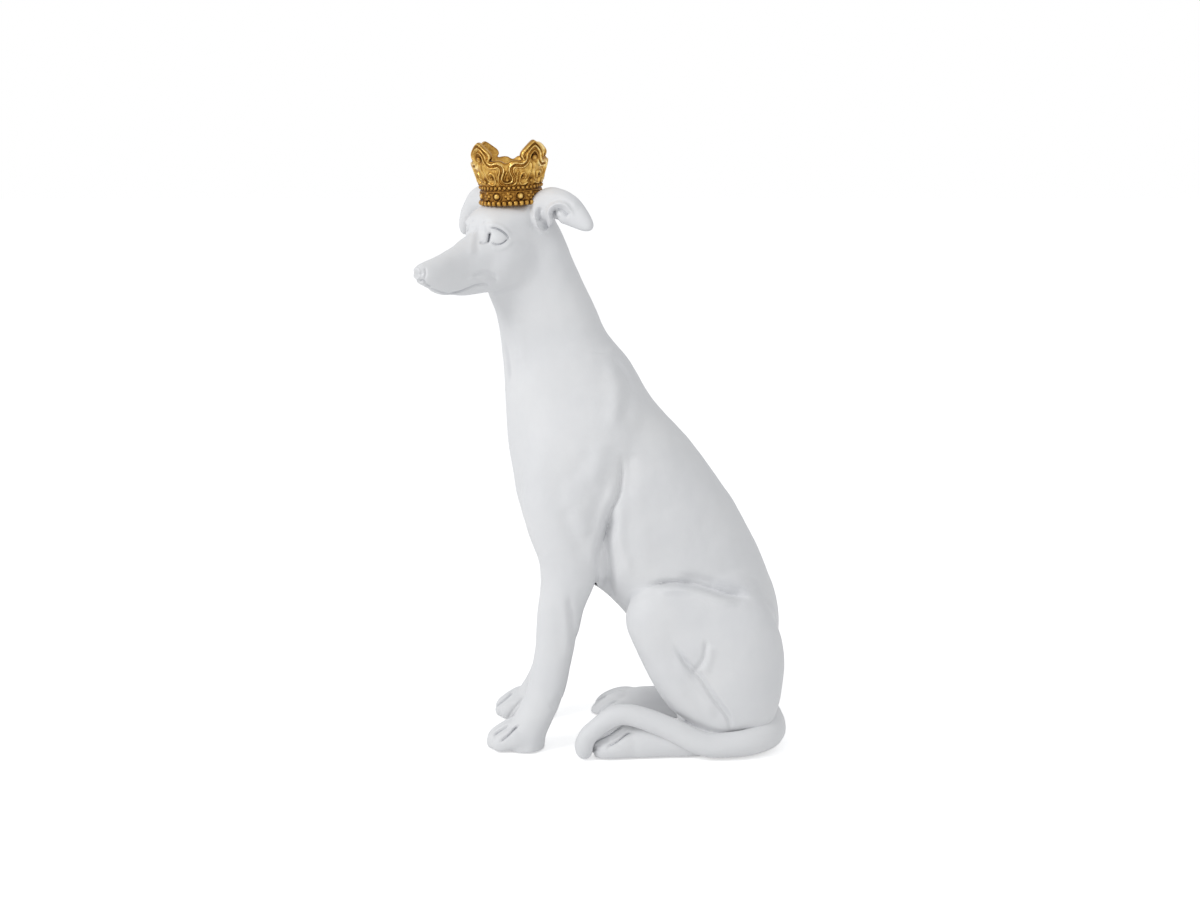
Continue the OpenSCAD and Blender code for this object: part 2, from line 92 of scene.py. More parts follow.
# Sections of the trunk and neck from the head down: height, front, back, middle across, half width
TRUNK = [
    (328, -58, -33, 0, 10),
    (319, -66, -28, 0, 15),
    (305, -73, -22, 0, 17.5),
    (292, -75, -16.4, 0, 19),
    (283, -74, -12.4, 0, 19.5),
    (272, -68.8, -7.0, 0, 20),
    (262, -66.5, -3.0, 0, 21),
    (254, -65.4, 1.2, 0, 22),
    (248, -64.9, 7.2, 0, 23.8),
    (242, -64.2, 12.2, 0, 25.8),
    (235, -63.8, 16.6, 0, 27.6),
    (226, -63.4, 21.4, 0, 29.5),
    (217, -63.0, 27.0, 0, 31),
    (209, -62.6, 32.8, 0, 32.2),
    (192, -61.8, 49.6, 0, 34),
    (170, -58.6, 66.0, 0, 36),
    (155, -56.4, 76.6, 0, 36.5),
    (138, -51.6, 86, 0, 37),
    (123, -44.6, 94, 0, 36.6),
    (112, -34, 98.5, 0, 36.5),
    (104, -16, 101.4, 0, 36),
    (97, -5, 104.8, 0, 35.5),
    (86, 6, 107.6, 0, 34.5),
    (75, 15, 108.4, 0, 34),
    (64, 23, 108.2, 0, 33.5),
    (50, 29, 107.2, 0, 33),
    (34, 36, 106, 0, 32.5),
    (14, 44, 105.4, 0, 31),
    (-4, 47, 104, 0, 28),
]

# Sections of a shoulder and foreleg: height, front, back, middle across, half width
FORELEG = [
    (240, -18, -6, 10, 3),
    (228, -25, 6, 14, 7.5),
    (205, -36, 12, 20.5, 13),
    (180, -50.6, 8.6, 23.5, 16.5),
    (158, -53, 3, 25.5, 17),
    (142, -50, -1.6, 26.4, 16.8),
    (130, -46, -4.6, 27, 16.2),
    (118, -41.6, -6.2, 27.6, 15.2),
    (105, -41.0, -7.4, 28, 13.8),
    (90, -42.9, -14.2, 28.4, 11.8),
    (65, -44.6, -19.8, 28.8, 10.2),
    (56, -46.0, -22.0, 29.2, 10.2),
    (40, -49, -25.4, 30, 10.6),
    (28, -53.6, -29.4, 30.4, 11.4),
    (18, -60, -34.4, 30.6, 12.6),
    (8, -63.4, -38.4, 30.8, 13.2),
    (-4, -63.4, -39.6, 30.8, 12.8),
]
RIGHT_LEG_BACK = 2.4            # how far the right foreleg stands behind the left one
RIGHT_LEG_FROM_Z = 95.0
RIGHT_FOOT_BACK = 4.0           # the right hind foot lies this much farther back, inward and lower
RIGHT_FOOT_IN = 4.5
RIGHT_FOOT_DOWN = 4.6

# Round lumps of the limbs: x, outward from the middle plane, z, half sizes along x, y and z
FORE_TOES = [
    [(-53, 37.6, 8, 9, 7.4, 9), (-57, 38.6, 9, 7, 6, 7.6), (-63.2, 39.0, 6.6, 7.0, 5, 6.2),
     (-67.6, 38.6, 4.6, 4.6, 4.4, 4.8)],
    [(-58, 33.8, 12, 7, 5, 8), (-65.4, 34.2, 7.6, 7.2, 4.8, 6.8), (-71.0, 34.0, 5.0, 4.8, 4.4, 5.2)],
    [(-58, 28.2, 12, 7, 5, 8), (-65.4, 27.8, 7.6, 7.2, 4.8, 6.8), (-71.0, 27.6, 5.0, 4.8, 4.4, 5.2)],
    [(-53, 24, 8, 9, 7.4, 9), (-57, 23.4, 9, 7, 6, 7.6), (-63.2, 22.6, 6.6, 7.0, 5, 6.2),
     (-67.6, 22.4, 4.6, 4.6, 4.4, 4.8)],
]
THIGH = [
    (28.4, 33, 87, 17.4, 13.2, 19),
    (48, 32.4, 78, 29, 16.5, 27),
    (68.8, 30.8, 66.4, 39.2, 19.2, 38),
    (77, 32, 42, 30.8, 17.6, 33),
    (82, 33.6, 24, 22.6, 15.4, 21),
]
SHANK = [
    (27.0, 34, 86, 16.6, 13.2, 17),
    (36.6, 35.6, 62, 16, 12.8, 15.2),
    (45.8, 36.6, 41.2, 13.8, 12.4, 13.2),
    (57.2, 36.8, 27, 13, 12, 12),
    (71, 36.8, 16, 11, 11.6, 12),
]
HIND_FOOT = [
    (74, 37.8, 8, 9, 12.6, 11.6),
    (56, 39.4, 9, 9, 13.4, 13),
    (36.8, 39.8, 9, 10, 14.4, 13.8),
    (18, 39.8, 8, 11, 14.8, 14.6),
    (8, 39.6, 7, 9, 14.4, 13.2),
]
HIND_TOES = [
    [(12, 49.6, 8, 9, 6, 8.5), (2, 50.2, 6.4, 7, 6, 7), (-4.6, 50.0, 4.6, 5, 5.4, 5.4)],
    [(10, 44.8, 13.4, 10, 6.2, 8.5), (0, 46.0, 11.2, 8, 6.0, 7.4), (-7, 46.2, 7.4, 6, 5.6, 6.4)],
    [(8, 38.2, 13, 10, 6.2, 8), (-2, 38.8, 10, 8, 6.0, 7), (-9, 39.0, 6.4, 6, 5.6, 6)],
    [(8, 32, 10, 8, 5.6, 7), (-1, 31.8, 7.6, 6.6, 5.4, 6), (-5, 31.6, 5, 5, 5, 5)],
]
TAIL = [
    (92, 6, 20, 11, 11, 11),
    (99, -3, 15.6, 10, 10, 10),
    (102, -14, 13.2, 9.6, 9.6, 9.6),
    (102.6, -26, 11.8, 9.0, 9.0, 9.0),
    (97, -37.4, 10.8, 8.5, 8.5, 8.5),
    (84, -45.2, 9.4, 7.9, 7.9, 7.9),
    (66, -48, 8.8, 7.5, 7.5, 7.5),
    (56, -48.4, 11.2, 7.4, 7.4, 7.4),
    (45.6, -48.4, 16.4, 7.2, 7.2, 7.2),
    (34.4, -47.8, 21.6, 6.9, 6.9, 6.9),
    (22.6, -47, 26.2, 6.6, 6.6, 6.6),
    (11, -47, 28.8, 6.3, 6.3, 6.3),
    (2.8, -47.4, 27, 6.1, 6.1, 6.1),
    (-4.7, -47.9, 22, 6.0, 6.0, 6.0),
    (-11.8, -48.6, 15.7, 5.8, 5.8, 5.8),
    (-14.7, -49, 9.4, 5.7, 5.7, 5.7),
    (-13.7, -49, 4.2, 5.4, 5.4, 5.4),
]

# Sections of the head along its own forward axis: place, underside, top, middle across, half width
SKULL = [
    (-24, -14, 4, 0, 8),
    (-17, -20, 12, 0, 14),
    (-8, -25, 16, 0, 19),
    (3, -31, 17.4, 0, 21),
    (15, -33.4, 13.0, 0, 18.8),
    (26, -34.2, 4.4, 0, 14),
    (34, -34.3, -1.2, 0, 11.6),
    (42, -33.8, -4.8, 0, 9.9),
    (50, -32.1, -7.6, 0, 8.9),
    (57, -29.8, -9.7, 0, 8.2),
    (63, -27.4, -11.2, 0, 7.2),
    (68, -24.4, -12.5, 0, 5.8),
    (71.4, -21.0, -14.6, 0, 3.2),
]
# Round lumps of the head: forward, outward, up, half sizes
CHEEK = [(2, 13, -14, 12, 8.4, 11), (12, 12, -17, 10, 6, 9)]
BROW = [(12, 9, 8, 7, 6, 5), (19, 8.8, 6.2, 6, 5.2, 4)]
NOSE = [(66.0, 0, -16.1, 4.6, 5.0, 4.6), (68.0, 0, -17.0, 3.6, 4.4, 4.0)]
CHIN = [(48, 0, -28.4, 8, 6.2, 4.6), (56, 0, -27.0, 5.6, 5, 3.4)]
LEFT_EAR = [
    (-6, 13, 6, 9, 5.5, 9),
    (-8, 18, 14, 8.6, 5.4, 9.6),
    (-10.2, 24.5, 19.2, 7.8, 5, 10.4),
    (-12.5, 33.0, 18.4, 6.8, 4.8, 10.8),
    (-15.5, 41.0, 15.6, 6.2, 4.5, 9.6),
    (-17.5, 47.6, 11.2, 5.0, 3.9, 7.0),
    (-18.4, 53.0, 7.2, 3, 2.6, 3.2),
]
RIGHT_EAR = [
    (-5, 13.5, 5, 8, 5.5, 9),
    (-7, 18.5, 13, 9.0, 5.2, 9),
    (-8, 25, 18.8, 8, 5, 8.4),
    (-8.6, 33.8, 19.2, 7, 5, 8.2),
    (-8.8, 42, 13.6, 6.4, 4.8, 8.6),
    (-8.8, 48.4, 4.8, 5.4, 4.2, 7),
    (-8.6, 50.8, -1.6, 3, 2.6, 3.4),
]
# The broad, flat top of the skull under the crown: its middle and half sizes, in the head's own axes
SEAT_AT = (-1.5, 0.0, 5.5)
SEAT_HALF = (24.0, 21.5, 13.9)

# Lines that the photograph shows, as (x, z) where the rays cross the photo plane.
# Each has its depth, half width and the least distance out from the middle; ridges have a negative depth.
BODY_LINES = [
    (1.1, 3.2, 6, [(-70, 275), (-65.5, 262), (-61, 249), (-58.5, 238), (-57.5, 222)]),
    (-0.8, 4.0, 6, [(-57, 262), (-54, 250), (-52.5, 238)]),
    (1.0, 5.0, 14, [(6, 246), (11.5, 232), (12.5, 218), (9, 200)]),
    (-1.2, 5.0, 14, [(1, 240), (5, 228), (6, 212), (2, 196)]),
    (2.5, 1.6, 20, [(9.4, 180), (8.8, 168.2), (8.2, 161.8), (6.8, 154.2), (4.6, 149), (2.2, 143.9), (0.7, 137.5),
                    (-0.8, 131), (-3.3, 123.3), (-5.2, 118.1), (-4.5, 110)]),
    (-1.4, 3.4, 20, [(3.2, 166), (2.2, 156), (-1.4, 147), (-3.6, 137), (-5.8, 129), (-8.4, 121), (-8.4, 113),
                     (-9.8, 103)]),
    (1.3, 5.0, 20, [(14, 182), (13, 166), (10, 152)]),
    (-1.2, 6.0, 20, [(-3, 190), (-5, 176), (-9, 160)]),
    (0.9, 4.6, 20, [(-28.3, 148), (-25.8, 141.3), (-22.7, 132.3), (-18.3, 122.0), (-16, 112)]),
    (-0.5, 4.6, 20, [(-20, 148), (-16.4, 138), (-12.4, 128)]),
    (0.6, 4.6, 20, [(-8.2, 182.9), (-13.2, 177.1), (-18.2, 170.8), (-24, 164)]),
    (6.0, 3.7, 16, [(4.0, 146), (1.8, 138), (0.0, 130), (-0.6, 122), (0.4, 114), (1.2, 104), (1, 92), (0, 82)]),
    (-1.5, 3.8, 20, [(9.4, 150), (7.6, 136), (8.8, 121), (12, 111), (14, 100)]),
    (3.2, 1.8, 26, [(24, 95.4), (32, 97.4), (39.5, 98.3), (52, 97.6), (63.4, 94.7), (70, 92.4), (76.6, 90.4),
                    (85, 89), (89, 88.6)]),
    (2.6, 3.4, 26, [(44, 101.4), (56, 100.2), (66, 97), (75, 93.6), (83, 91), (90, 89)]),
    (-1.9, 3.2, 26, [(30, 92.5), (46, 93.6), (60, 90.6), (72, 86.8), (84, 84)]),
    (2.3, 1.7, 26, [(42, 57.4), (48.6, 47.9), (53, 42.6), (58, 38), (61.8, 32.8), (67.9, 23), (75, 13.4),
                    (78.2, 7.5), (79.4, -1)]),
    (-1.2, 3.4, 26, [(42, 48), (52, 35), (62, 21), (70, 9)]),
    (1.6, 1.6, 26, [(62.8, 60.4), (62.4, 52.6), (61, 47.3), (57.6, 42.1), (53.7, 38)]),
    (-0.9, 2.8, 26, [(66.4, 57), (64.6, 46), (62.4, 38)]),
    (0.9, 2.2, 20, [(-24, 92), (-21.4, 70), (-18.9, 50), (-22, 34)]),
    (-0.6, 2.8, 20, [(-29, 92), (-26, 70), (-25, 50)]),
    (0.6, 2.4, 20, [(-29, 24), (-32, 19), (-37, 16)]),
]
TOE_LINES = [
    (2.4, 2.3, 22, [(36, 12), (46.8, 8.4), (53, 4.8), (60, 1.6), (68, -0.8), (75.8, -1.8), (83.5, -1), (96, 3)]),
    (1.5, 0.9, 20, [(-55.4, 4.3), (-59.1, 1.1), (-62.7, -2.7), (-66.4, -5.9), (-68.9, -8.1)]),
    (1.1, 0.8, 20, [(-62.1, 3.9), (-66.4, 1.1), (-70.0, -1.4), (-72.8, -3.6)]),
    (1.7, 1.0, 20, [(12.0, 3.7), (9.0, 2.8), (2.3, -2.1), (-3.8, -5.5), (-9.3, -8.5), (-9.3, -11.3), (-6.0, -13.6)]),
    (1.4, 0.9, 20, [(17.1, -1.1), (13.2, -1.8), (9.0, -5.3), (4.7, -8.5), (1.3, -10.4), (1.1, -13.0)]),
]
FAR_TOE_LINES = [
    (0.9, 0.9, 22, [(-59.3, 26.0), (-61.3, 24.0), (-65.6, 20.2), (-69.2, 17.3), (-71, 15.4)]),
    (0.8, 0.9, 22, [(-53.2, 22.2), (-54.7, 20.2), (-58.9, 15.1), (-62.3, 10.4), (-63.4, 8)]),
    (0.45, 0.9, 22, [(0.6, 23.4), (-3.8, 20.9), (-6.8, 18.3), (-8.6, 15.4)]),
    (0.4, 0.9, 22, [(7, 20.6), (2, 17.6), (-2, 14.4), (-4.4, 11.4)]),
]
FAR_TOE_SPAN = 62.0             # these lines count up to this distance out, less the list's own least distance
HEAD_LINES = [
    (0.9, 0.5, 0, [(-72.4, 320.9), (-71.1, 321.2), (-69.3, 321.3), (-67.4, 321.0), (-64.7, 319.7), (-62.3, 317.9),
                  (-60.5, 315.8), (-59.2, 313.6)]),
    (0.85, 0.5, 0, [(-71.2, 313.9), (-70.2, 312.7), (-69.1, 311.9), (-67.5, 311.3), (-65.4, 311.5), (-63.3, 312.5),
                   (-61.4, 314.1), (-60.0, 315.7)]),
    (3.4, 0.9, 0, [(-71.4, 318.6), (-72.0, 315.3), (-72.8, 311.9)]),
    (1.1, 0.7, 0, [(-72.6, 312.4), (-75.2, 312.1), (-78, 312.7)]),
    (-0.55, 1.3, 0, [(-73, 323.0), (-68, 323.6), (-62.6, 321.0), (-58.4, 316.4)]),
    (-0.4, 1.3, 0, [(-71, 309.2), (-66, 308.4), (-61.4, 310.2), (-57.8, 313.8)]),
    (-0.5, 1.6, 0, [(-76.4, 324.4), (-75.3, 319.4), (-75.6, 313.9)]),
    (0.4, 1.7, 0, [(-78.6, 323), (-78.4, 317.6), (-79.2, 311.7), (-78.3, 305.6)]),
    (-0.4, 2.0, 0, [(-81.6, 318.4), (-82.9, 311.7), (-83.2, 304.3)]),
    (0.25, 1.0, 0, [(-76, 324.6), (-73, 325.4), (-70, 325.2)]),
    (0.9, 0.9, 0, [(-98.7, 281.3), (-91.2, 282.6), (-85.4, 284.8), (-80.9, 286.6), (-75.7, 287.2), (-70.8, 285.4)]),
    (0.5, 0.7, 0, [(-109.6, 283.8), (-106.7, 284.2), (-102.5, 282.6), (-97, 281.4)]),
    (-0.6, 1.6, 0, [(-86, 289.4), (-80, 290.6), (-74.6, 290.6), (-69.6, 288.2)]),
    (1.0, 1.4, 0, [(-82.5, 291.8), (-78.2, 293.3), (-73.7, 293.7), (-69.3, 292.0), (-67.4, 288.8)]),
    (0.7, 0.7, 0, [(-111.4, 297.4), (-110.9, 294), (-111.8, 290.2)]),
    (0.7, 0.7, 0, [(-115.4, 289.2), (-112.4, 289.4), (-110.3, 286.9), (-107.4, 285.4)]),
]
EAR_LINES = [
    (-2.3, 1.5, 13, [(-44.6, 333.4), (-43.9, 327.0), (-41.9, 321.9), (-38.5, 319.2), (-35.7, 321.3), (-35.2, 325.7),
                     (-36.2, 329.8), (-34.7, 333.6), (-30.6, 336.0), (-26.1, 335.6), (-22.7, 332.2), (-20.6, 328.4)]),
    (2.0, 1.3, 13, [(-40.8, 334), (-41.6, 329.6), (-41, 325.2)]),
    (4.4, 1.4, 15, [(-31.4, 334), (-32.1, 329.6), (-31.0, 325.7), (-29.8, 320.5)]),
    (2.2, 1.5, 15, [(-31.0, 333.0), (-28.0, 332.6), (-25.2, 330.6), (-22.9, 328.2)]),
    (0.8, 1.3, 10, [(-46.6, 336.8), (-47.2, 331.4), (-46.8, 325.6), (-45.0, 320.6)]),
    (-0.7, 2.2, 15, [(-36, 341.0), (-29, 341.0), (-22.4, 338.0), (-17.6, 332.6)]),
]
# Soft hollows and swellings: depth, x, z, half width along x and z, least distance out
HEAD_DENTS = [
    (-0.9, -65.6, 315.6, 4.6, 3.6, 0),
    (1.0, -77, 316.5, 4.5, 5.5, 0),
    (-0.7, -72, 326, 6, 4, 0),
    (1.0, -52, 318, 7, 8, 4),
    (0.8, -84, 300, 10, 5, 0),
    (1.6, -113.9, 293.4, 1.2, 1.1, 1.2),
    (-0.5, -112.6, 287.6, 2, 1.6, 0),
]
EAR_DENTS = [
    (0.9, -38.4, 327, 2.4, 4.6, 15),
]
BODY_DENTS = [
    (1.3, -60, 232, 5, 16, 7),
    (-1.4, 22, 122, 11, 18, 20),
    (1.2, 64, 72, 14, 12, 30),
    (-1.0, 32, 84, 14, 12, 30),
    (-0.9, 88, 46, 14, 22, 26),
    (0.9, -30, 156, 6, 9, 20),
    (-1.2, -44, 178, 8, 18, 14),
    (0.9, 44, 62, 8, 12, 30),
]


def smoothstep(values, start, end):
    share = np.clip((values - start) / (end - start), 0.0, 1.0)
    return share * share * (3.0 - 2.0 * share)


def join(a, b, fillet):
    """The union of two fields, with a fillet in the crease between them."""
    share = np.clip(0.5 + 0.5 * (b - a) / fillet, 0.0, 1.0)
    return b + (a - b) * share - fillet * share * (1.0 - share)


def keep_in(a, b, fillet):
    """The part of a that is inside b, with its edge rounded."""
    return -join(-a, -b, fillet)


def rounded(values, width):
    """The values with their corners eased over that many steps; straight ends stay straight."""
    size = int(3 * width) + 1
    kernel = np.exp(-0.5 * (np.arange(-size, size + 1) / width) ** 2)
    kernel /= kernel.sum()
    start = 2 * values[0] - values[size:0:-1]
    end = 2 * values[-1] - values[-2:-size - 2:-1]
    return np.convolve(np.concatenate([start, values, end]), kernel, "valid")


def hand_marks(points):
    """The slight unevenness that fingers and knife leave, as crossed waves."""
    marks = np.zeros(len(points))
    for size, length in HAND_MARKS:
        a, b, c = (points @ MARK_WAYS * (2 * math.pi / length)).T
        marks += size * (np.sin(a + np.sin(b)) + np.sin(b + np.sin(c)) + np.sin(c + np.sin(a))) / 3
    return marks


class Sections:
    """A form given by its sections across one axis: low and high edge, middle and half width the other way."""

    def __init__(self, rows, fullness=2.2, ease=3.0):
        rows = np.array(sorted(rows), float)
        self.at = np.arange(rows[0, 0], rows[-1, 0] + TABLE_STEP, TABLE_STEP)
        columns = [rounded(np.interp(self.at, rows[:, 0], rows[:, i]), ease / TABLE_STEP) for i in range(1, 5)]
        low, high, side, half_side = columns
        self.columns = [(low + high) / 2, (high - low) / 2, side, half_side]
        self.slopes = [np.gradient(column, TABLE_STEP) for column in self.columns]
        self.fullness = fullness

    def field(self, at, across, side):
        mid, half, middle, half_side = [np.interp(at, self.at, column) for column in self.columns]
        mid_s, half_s, middle_s, half_side_s = [np.interp(at, self.at, slope) for slope in self.slopes]
        u = (across - mid) / half
        v = (side - middle) / half_side
        n = self.fullness
        k = np.maximum(np.abs(u) ** n + np.abs(v) ** n, 1e-6) ** (1 / n)
        ku = np.sign(u) * np.abs(u) ** (n - 1) * k ** (1 - n)
        kv = np.sign(v) * np.abs(v) ** (n - 1) * k ** (1 - n)
        along = -ku * (mid_s + u * half_s) / half - kv * (middle_s + v * half_side_s) / half_side
        along = along * np.clip(TAPER_REACH - np.abs(k - 1), 0, 1)
        slope = np.sqrt((ku / half) ** 2 + (kv / half_side) ** 2 + along ** 2)
        field = (k - 1) / slope
        past = np.maximum(self.at[0] - at, at - self.at[-1])
        return np.where(past > 0, np.maximum(field, past), field)


def curve_through(rows, per_gap):
    """Points of a smooth curve through the rows, all columns alike."""
    rows = np.array(rows, float)
    ends = np.vstack([2 * rows[0] - rows[1], rows, 2 * rows[-1] - rows[-2]])
    share = np.linspace(0, 1, per_gap, endpoint=False)[:, None]
    parts = []
    for i in range(len(rows) - 1):
        a, b, c, d = ends[i:i + 4]
        cubic = 2 * b + (c - a) * share + (2 * a - 5 * b + 4 * c - d) * share ** 2
        parts.append(0.5 * (cubic + (3 * b - a - 3 * c + d) * share ** 3))
    return np.vstack(parts + [rows[-1:]])


def near_box(points, low, high, field):
    """field(points) near the box, and the distance to the box farther off."""
    gap = np.maximum(np.maximum(low - points, points - high), 0.0)
    away = np.sqrt((gap * gap).sum(axis=1))
    near = away < REACH
    if near.any():
        away[near] = field(points[near])
    return away


class Limb:
    """A limb that runs smoothly through round lumps: x, y, z and three half sizes."""

    def __init__(self, rows, per_gap=6, soft=1.5):
        self.lumps = curve_through(rows, per_gap) if len(rows) > 1 else np.array(rows, float)
        self.lumps[:, 3:] = np.maximum(self.lumps[:, 3:], 1.0)
        centres = self.lumps[:, :3]
        self.low = (centres - self.lumps[:, 3:]).min(axis=0)
        self.high = (centres + self.lumps[:, 3:]).max(axis=0)
        steps = np.linalg.norm(np.diff(centres, axis=0), axis=1)
        spacing = np.concatenate([steps[:1], (steps[1:] + steps[:-1]) / 2, steps[-1:]])
        size = self.lumps[:, 3:].mean(axis=1)
        self.weight = np.minimum(spacing / np.sqrt(2 * math.pi * size * soft), 1.0)
        self.soft = soft

    def inside(self, points):
        x, y, z = (points - self.low).T.astype(np.float32)
        total = np.zeros(len(points), np.float32)
        for lump, weight in zip(self.lumps, self.weight):
            squares = [(axis - middle) ** 2 for axis, middle in zip((x, y, z), (lump[:3] - self.low).tolist())]
            tight = (1 / lump[3:] ** 2).tolist()
            k0 = squares[0] * tight[0] + squares[1] * tight[1] + squares[2] * tight[2]
            k1 = squares[0] * tight[0] ** 2 + squares[1] * tight[1] ** 2 + squares[2] * tight[2] ** 2
            gap = (k0 - np.sqrt(k0)) / np.sqrt(k1 + 1e-9)
            total += float(weight) * np.exp(np.minimum(gap * (-1 / self.soft), 60.0))
        return -self.soft * np.log(np.maximum(total, 1e-30)).astype(float)

    def field(self, points):
        return near_box(points, self.low, self.high, self.inside)


def to_head(points):
    """Forward, outward to the dog's left, and up, from the head's own origin."""
    turn = math.radians(HEAD_TURN)
    from_head = points - HEAD_AT
    forward = -math.cos(turn) * from_head[:, 0] - math.sin(turn) * from_head[:, 1]
    left = math.sin(turn) * from_head[:, 0] - math.cos(turn) * from_head[:, 1]
    return np.stack([forward, left, from_head[:, 2]], axis=1)


def from_head(local):
    turn = math.radians(HEAD_TURN)
    x = -math.cos(turn) * local[:, 0] + math.sin(turn) * local[:, 1]
    y = -math.sin(turn) * local[:, 0] - math.cos(turn) * local[:, 1]
    return np.stack([x, y, local[:, 2]], axis=1) + HEAD_AT


def head_way(direction):
    """A direction in the head's own axes, turned into the frame."""
    return from_head(np.array([direction], float))[0] - HEAD_AT


def seen(points):
    """Where the camera's rays through the points cross the photo plane: x and z."""
    share = (PHOTO_PLANE_Y - CAMERA_AT[1]) / (points[:, 1] - CAMERA_AT[1])
    return (CAMERA_AT[[0, 2]] + share[:, None] * (points[:, [0, 2]] - CAMERA_AT[[0, 2]])).T


def line_relief(flat, out, lines):
    """How deep the lines are carved at each point, fading towards the ends of each line."""
    relief = np.zeros(len(out))
    for depth, width, least_out, line in lines:
        route = curve_through([p + (0,) for p in line], 4)[:, :2]
        low = route.min(axis=0) - 3 * width
        high = route.max(axis=0) + 3 * width
        near = (flat[0] > low[0]) & (flat[0] < high[0]) & (flat[1] > low[1]) & (flat[1] < high[1])
        near &= out > least_out - 3
        if not near.any():
            continue
        x, z = flat[0][near], flat[1][near]
        gap = np.full(len(x), 1e9)
        along = np.zeros(len(x))
        lengths = np.linalg.norm(np.diff(route, axis=0), axis=1)
        done = np.concatenate([[0], np.cumsum(lengths)]) / lengths.sum()
        for i in range(len(lengths)):
            way = route[i + 1] - route[i]
            share = np.clip(((x - route[i, 0]) * way[0] + (z - route[i, 1]) * way[1]) / (way @ way), 0, 1)
            reach = (x - route[i, 0] - share * way[0]) ** 2 + (z - route[i, 1] - share * way[1]) ** 2
            closer = reach < gap
            gap[closer] = reach[closer]
            along[closer] = (done[i] + share * (done[i + 1] - done[i]))[closer]
        fade = smoothstep(np.minimum(along, 1 - along), -0.04, 0.2)
        fade *= smoothstep(out[near], least_out - 3, least_out + 3)
        relief[near] += depth * fade * np.exp(-gap / width ** 2)
    return relief


def dent_relief(flat, out, dents):
    relief = np.zeros(len(out))
    for depth, x, z, half_x, half_z, least_out in dents:
        spread = ((flat[0] - x) / half_x) ** 2 + ((flat[1] - z) / half_z) ** 2
        relief += depth * np.exp(-spread) * smoothstep(out, least_out - 3, least_out + 3)
    return relief


trunk_form = Sections(TRUNK, 2.15, 4.0)
foreleg_form = Sections(FORELEG, 2.15, 3.0)
skull_form = Sections(SKULL, 2.2, 2.2)
thigh_form = Limb(THIGH, 8, 3.0)
shank_form = Limb(SHANK, 6, 2.0)
foot_form = Limb(HIND_FOOT, 6, 1.6)
tail_form = Limb(TAIL, 6, 1.4)
left_ear_form = Limb(LEFT_EAR, 7, 1.3)
right_ear_form = Limb(RIGHT_EAR, 7, 1.3)
fore_toe_forms = [Limb(rows, 4, 1.0) for rows in FORE_TOES]
hind_toe_forms = [Limb(rows, 4, 1.0) for rows in HIND_TOES]
cheek_form, brow_form, nose_form, chin_form = [Limb(rows, 4, 1.4) for rows in (CHEEK, BROW, NOSE, CHIN)]


def body_field(points):
    """The trunk and limbs. Both sides are worked out as one, with the right limbs set back a little."""
    x, y, z = points.T
    out = np.abs(y - MIDDLE)
    right = y > MIDDLE
    body = trunk_form.field(z, x, y - MIDDLE)
    leg_x = x - np.where(right, RIGHT_LEG_BACK * smoothstep(-z, -RIGHT_LEG_FROM_Z, -20), 0)
    foot_x = x - np.where(right, RIGHT_FOOT_BACK * smoothstep(-z, -40, -20), 0)
    leg_points = np.stack([leg_x, out, z], axis=1)
    far_low = np.where(right, smoothstep(-z, -40, -20), 0)
    foot_points = np.stack([foot_x, out + RIGHT_FOOT_IN * far_low, z + RIGHT_FOOT_DOWN * far_low], axis=1)
    low = np.array([-66.0, 2.0, -4.0])
    high = np.array([22.0, 44.0, 240.0])
    leg = near_box(leg_points, low, high, lambda p: foreleg_form.field(p[:, 2], p[:, 0], p[:, 1]))
    for toe in fore_toe_forms:
        leg = join(leg, toe.field(leg_points), 1.2)
    fillet = 3.0 + 9.0 * smoothstep(z, 150, 200)
    body = join(body, leg, fillet)
    side = join(thigh_form.field(foot_points), shank_form.field(foot_points), 3.0)
    foot = foot_form.field(foot_points)
    for toe in hind_toe_forms:
        foot = join(foot, toe.field(foot_points), 1.2)
    side = join(side, foot, 3.0)
    body = join(body, side, 5.0 + 12.0 * smoothstep(x, 58, 92))
    mirrored = np.stack([x, MIDDLE - out, z], axis=1)
    flat = seen(mirrored)
    body = body + line_relief(flat, out, BODY_LINES) + dent_relief(flat, out, BODY_DENTS)
    mirrored[:, 0] = np.where(z < 40, np.where(x < -20, leg_x, foot_x), x)
    low_down = (z < 34) & ~right
    if low_down.any():
        body[low_down] += line_relief(seen(mirrored[low_down]), out[low_down], TOE_LINES)
    low_far = (z < 34) & right
    if low_far.any():
        body[low_far] += line_relief(seen(points[low_far]), FAR_TOE_SPAN - out[low_far], FAR_TOE_LINES)
    return body


def seat_field(forward, out, up):
    """The crown's seat: round from above, and flat on top with full shoulders."""
    flat = np.hypot((forward - SEAT_AT[0]) / SEAT_HALF[0], (out - SEAT_AT[1]) / SEAT_HALF[1])
    rise = np.abs(up - SEAT_AT[2]) / SEAT_HALF[2]
    size = np.maximum(flat ** 3 + rise ** 3, 1e-6) ** (1 / 3)
    slope = np.hypot((flat / size) ** 2 / SEAT_HALF[1], (rise / size) ** 2 / SEAT_HALF[2])
    return (size - 1) / np.maximum(slope, 1e-3)


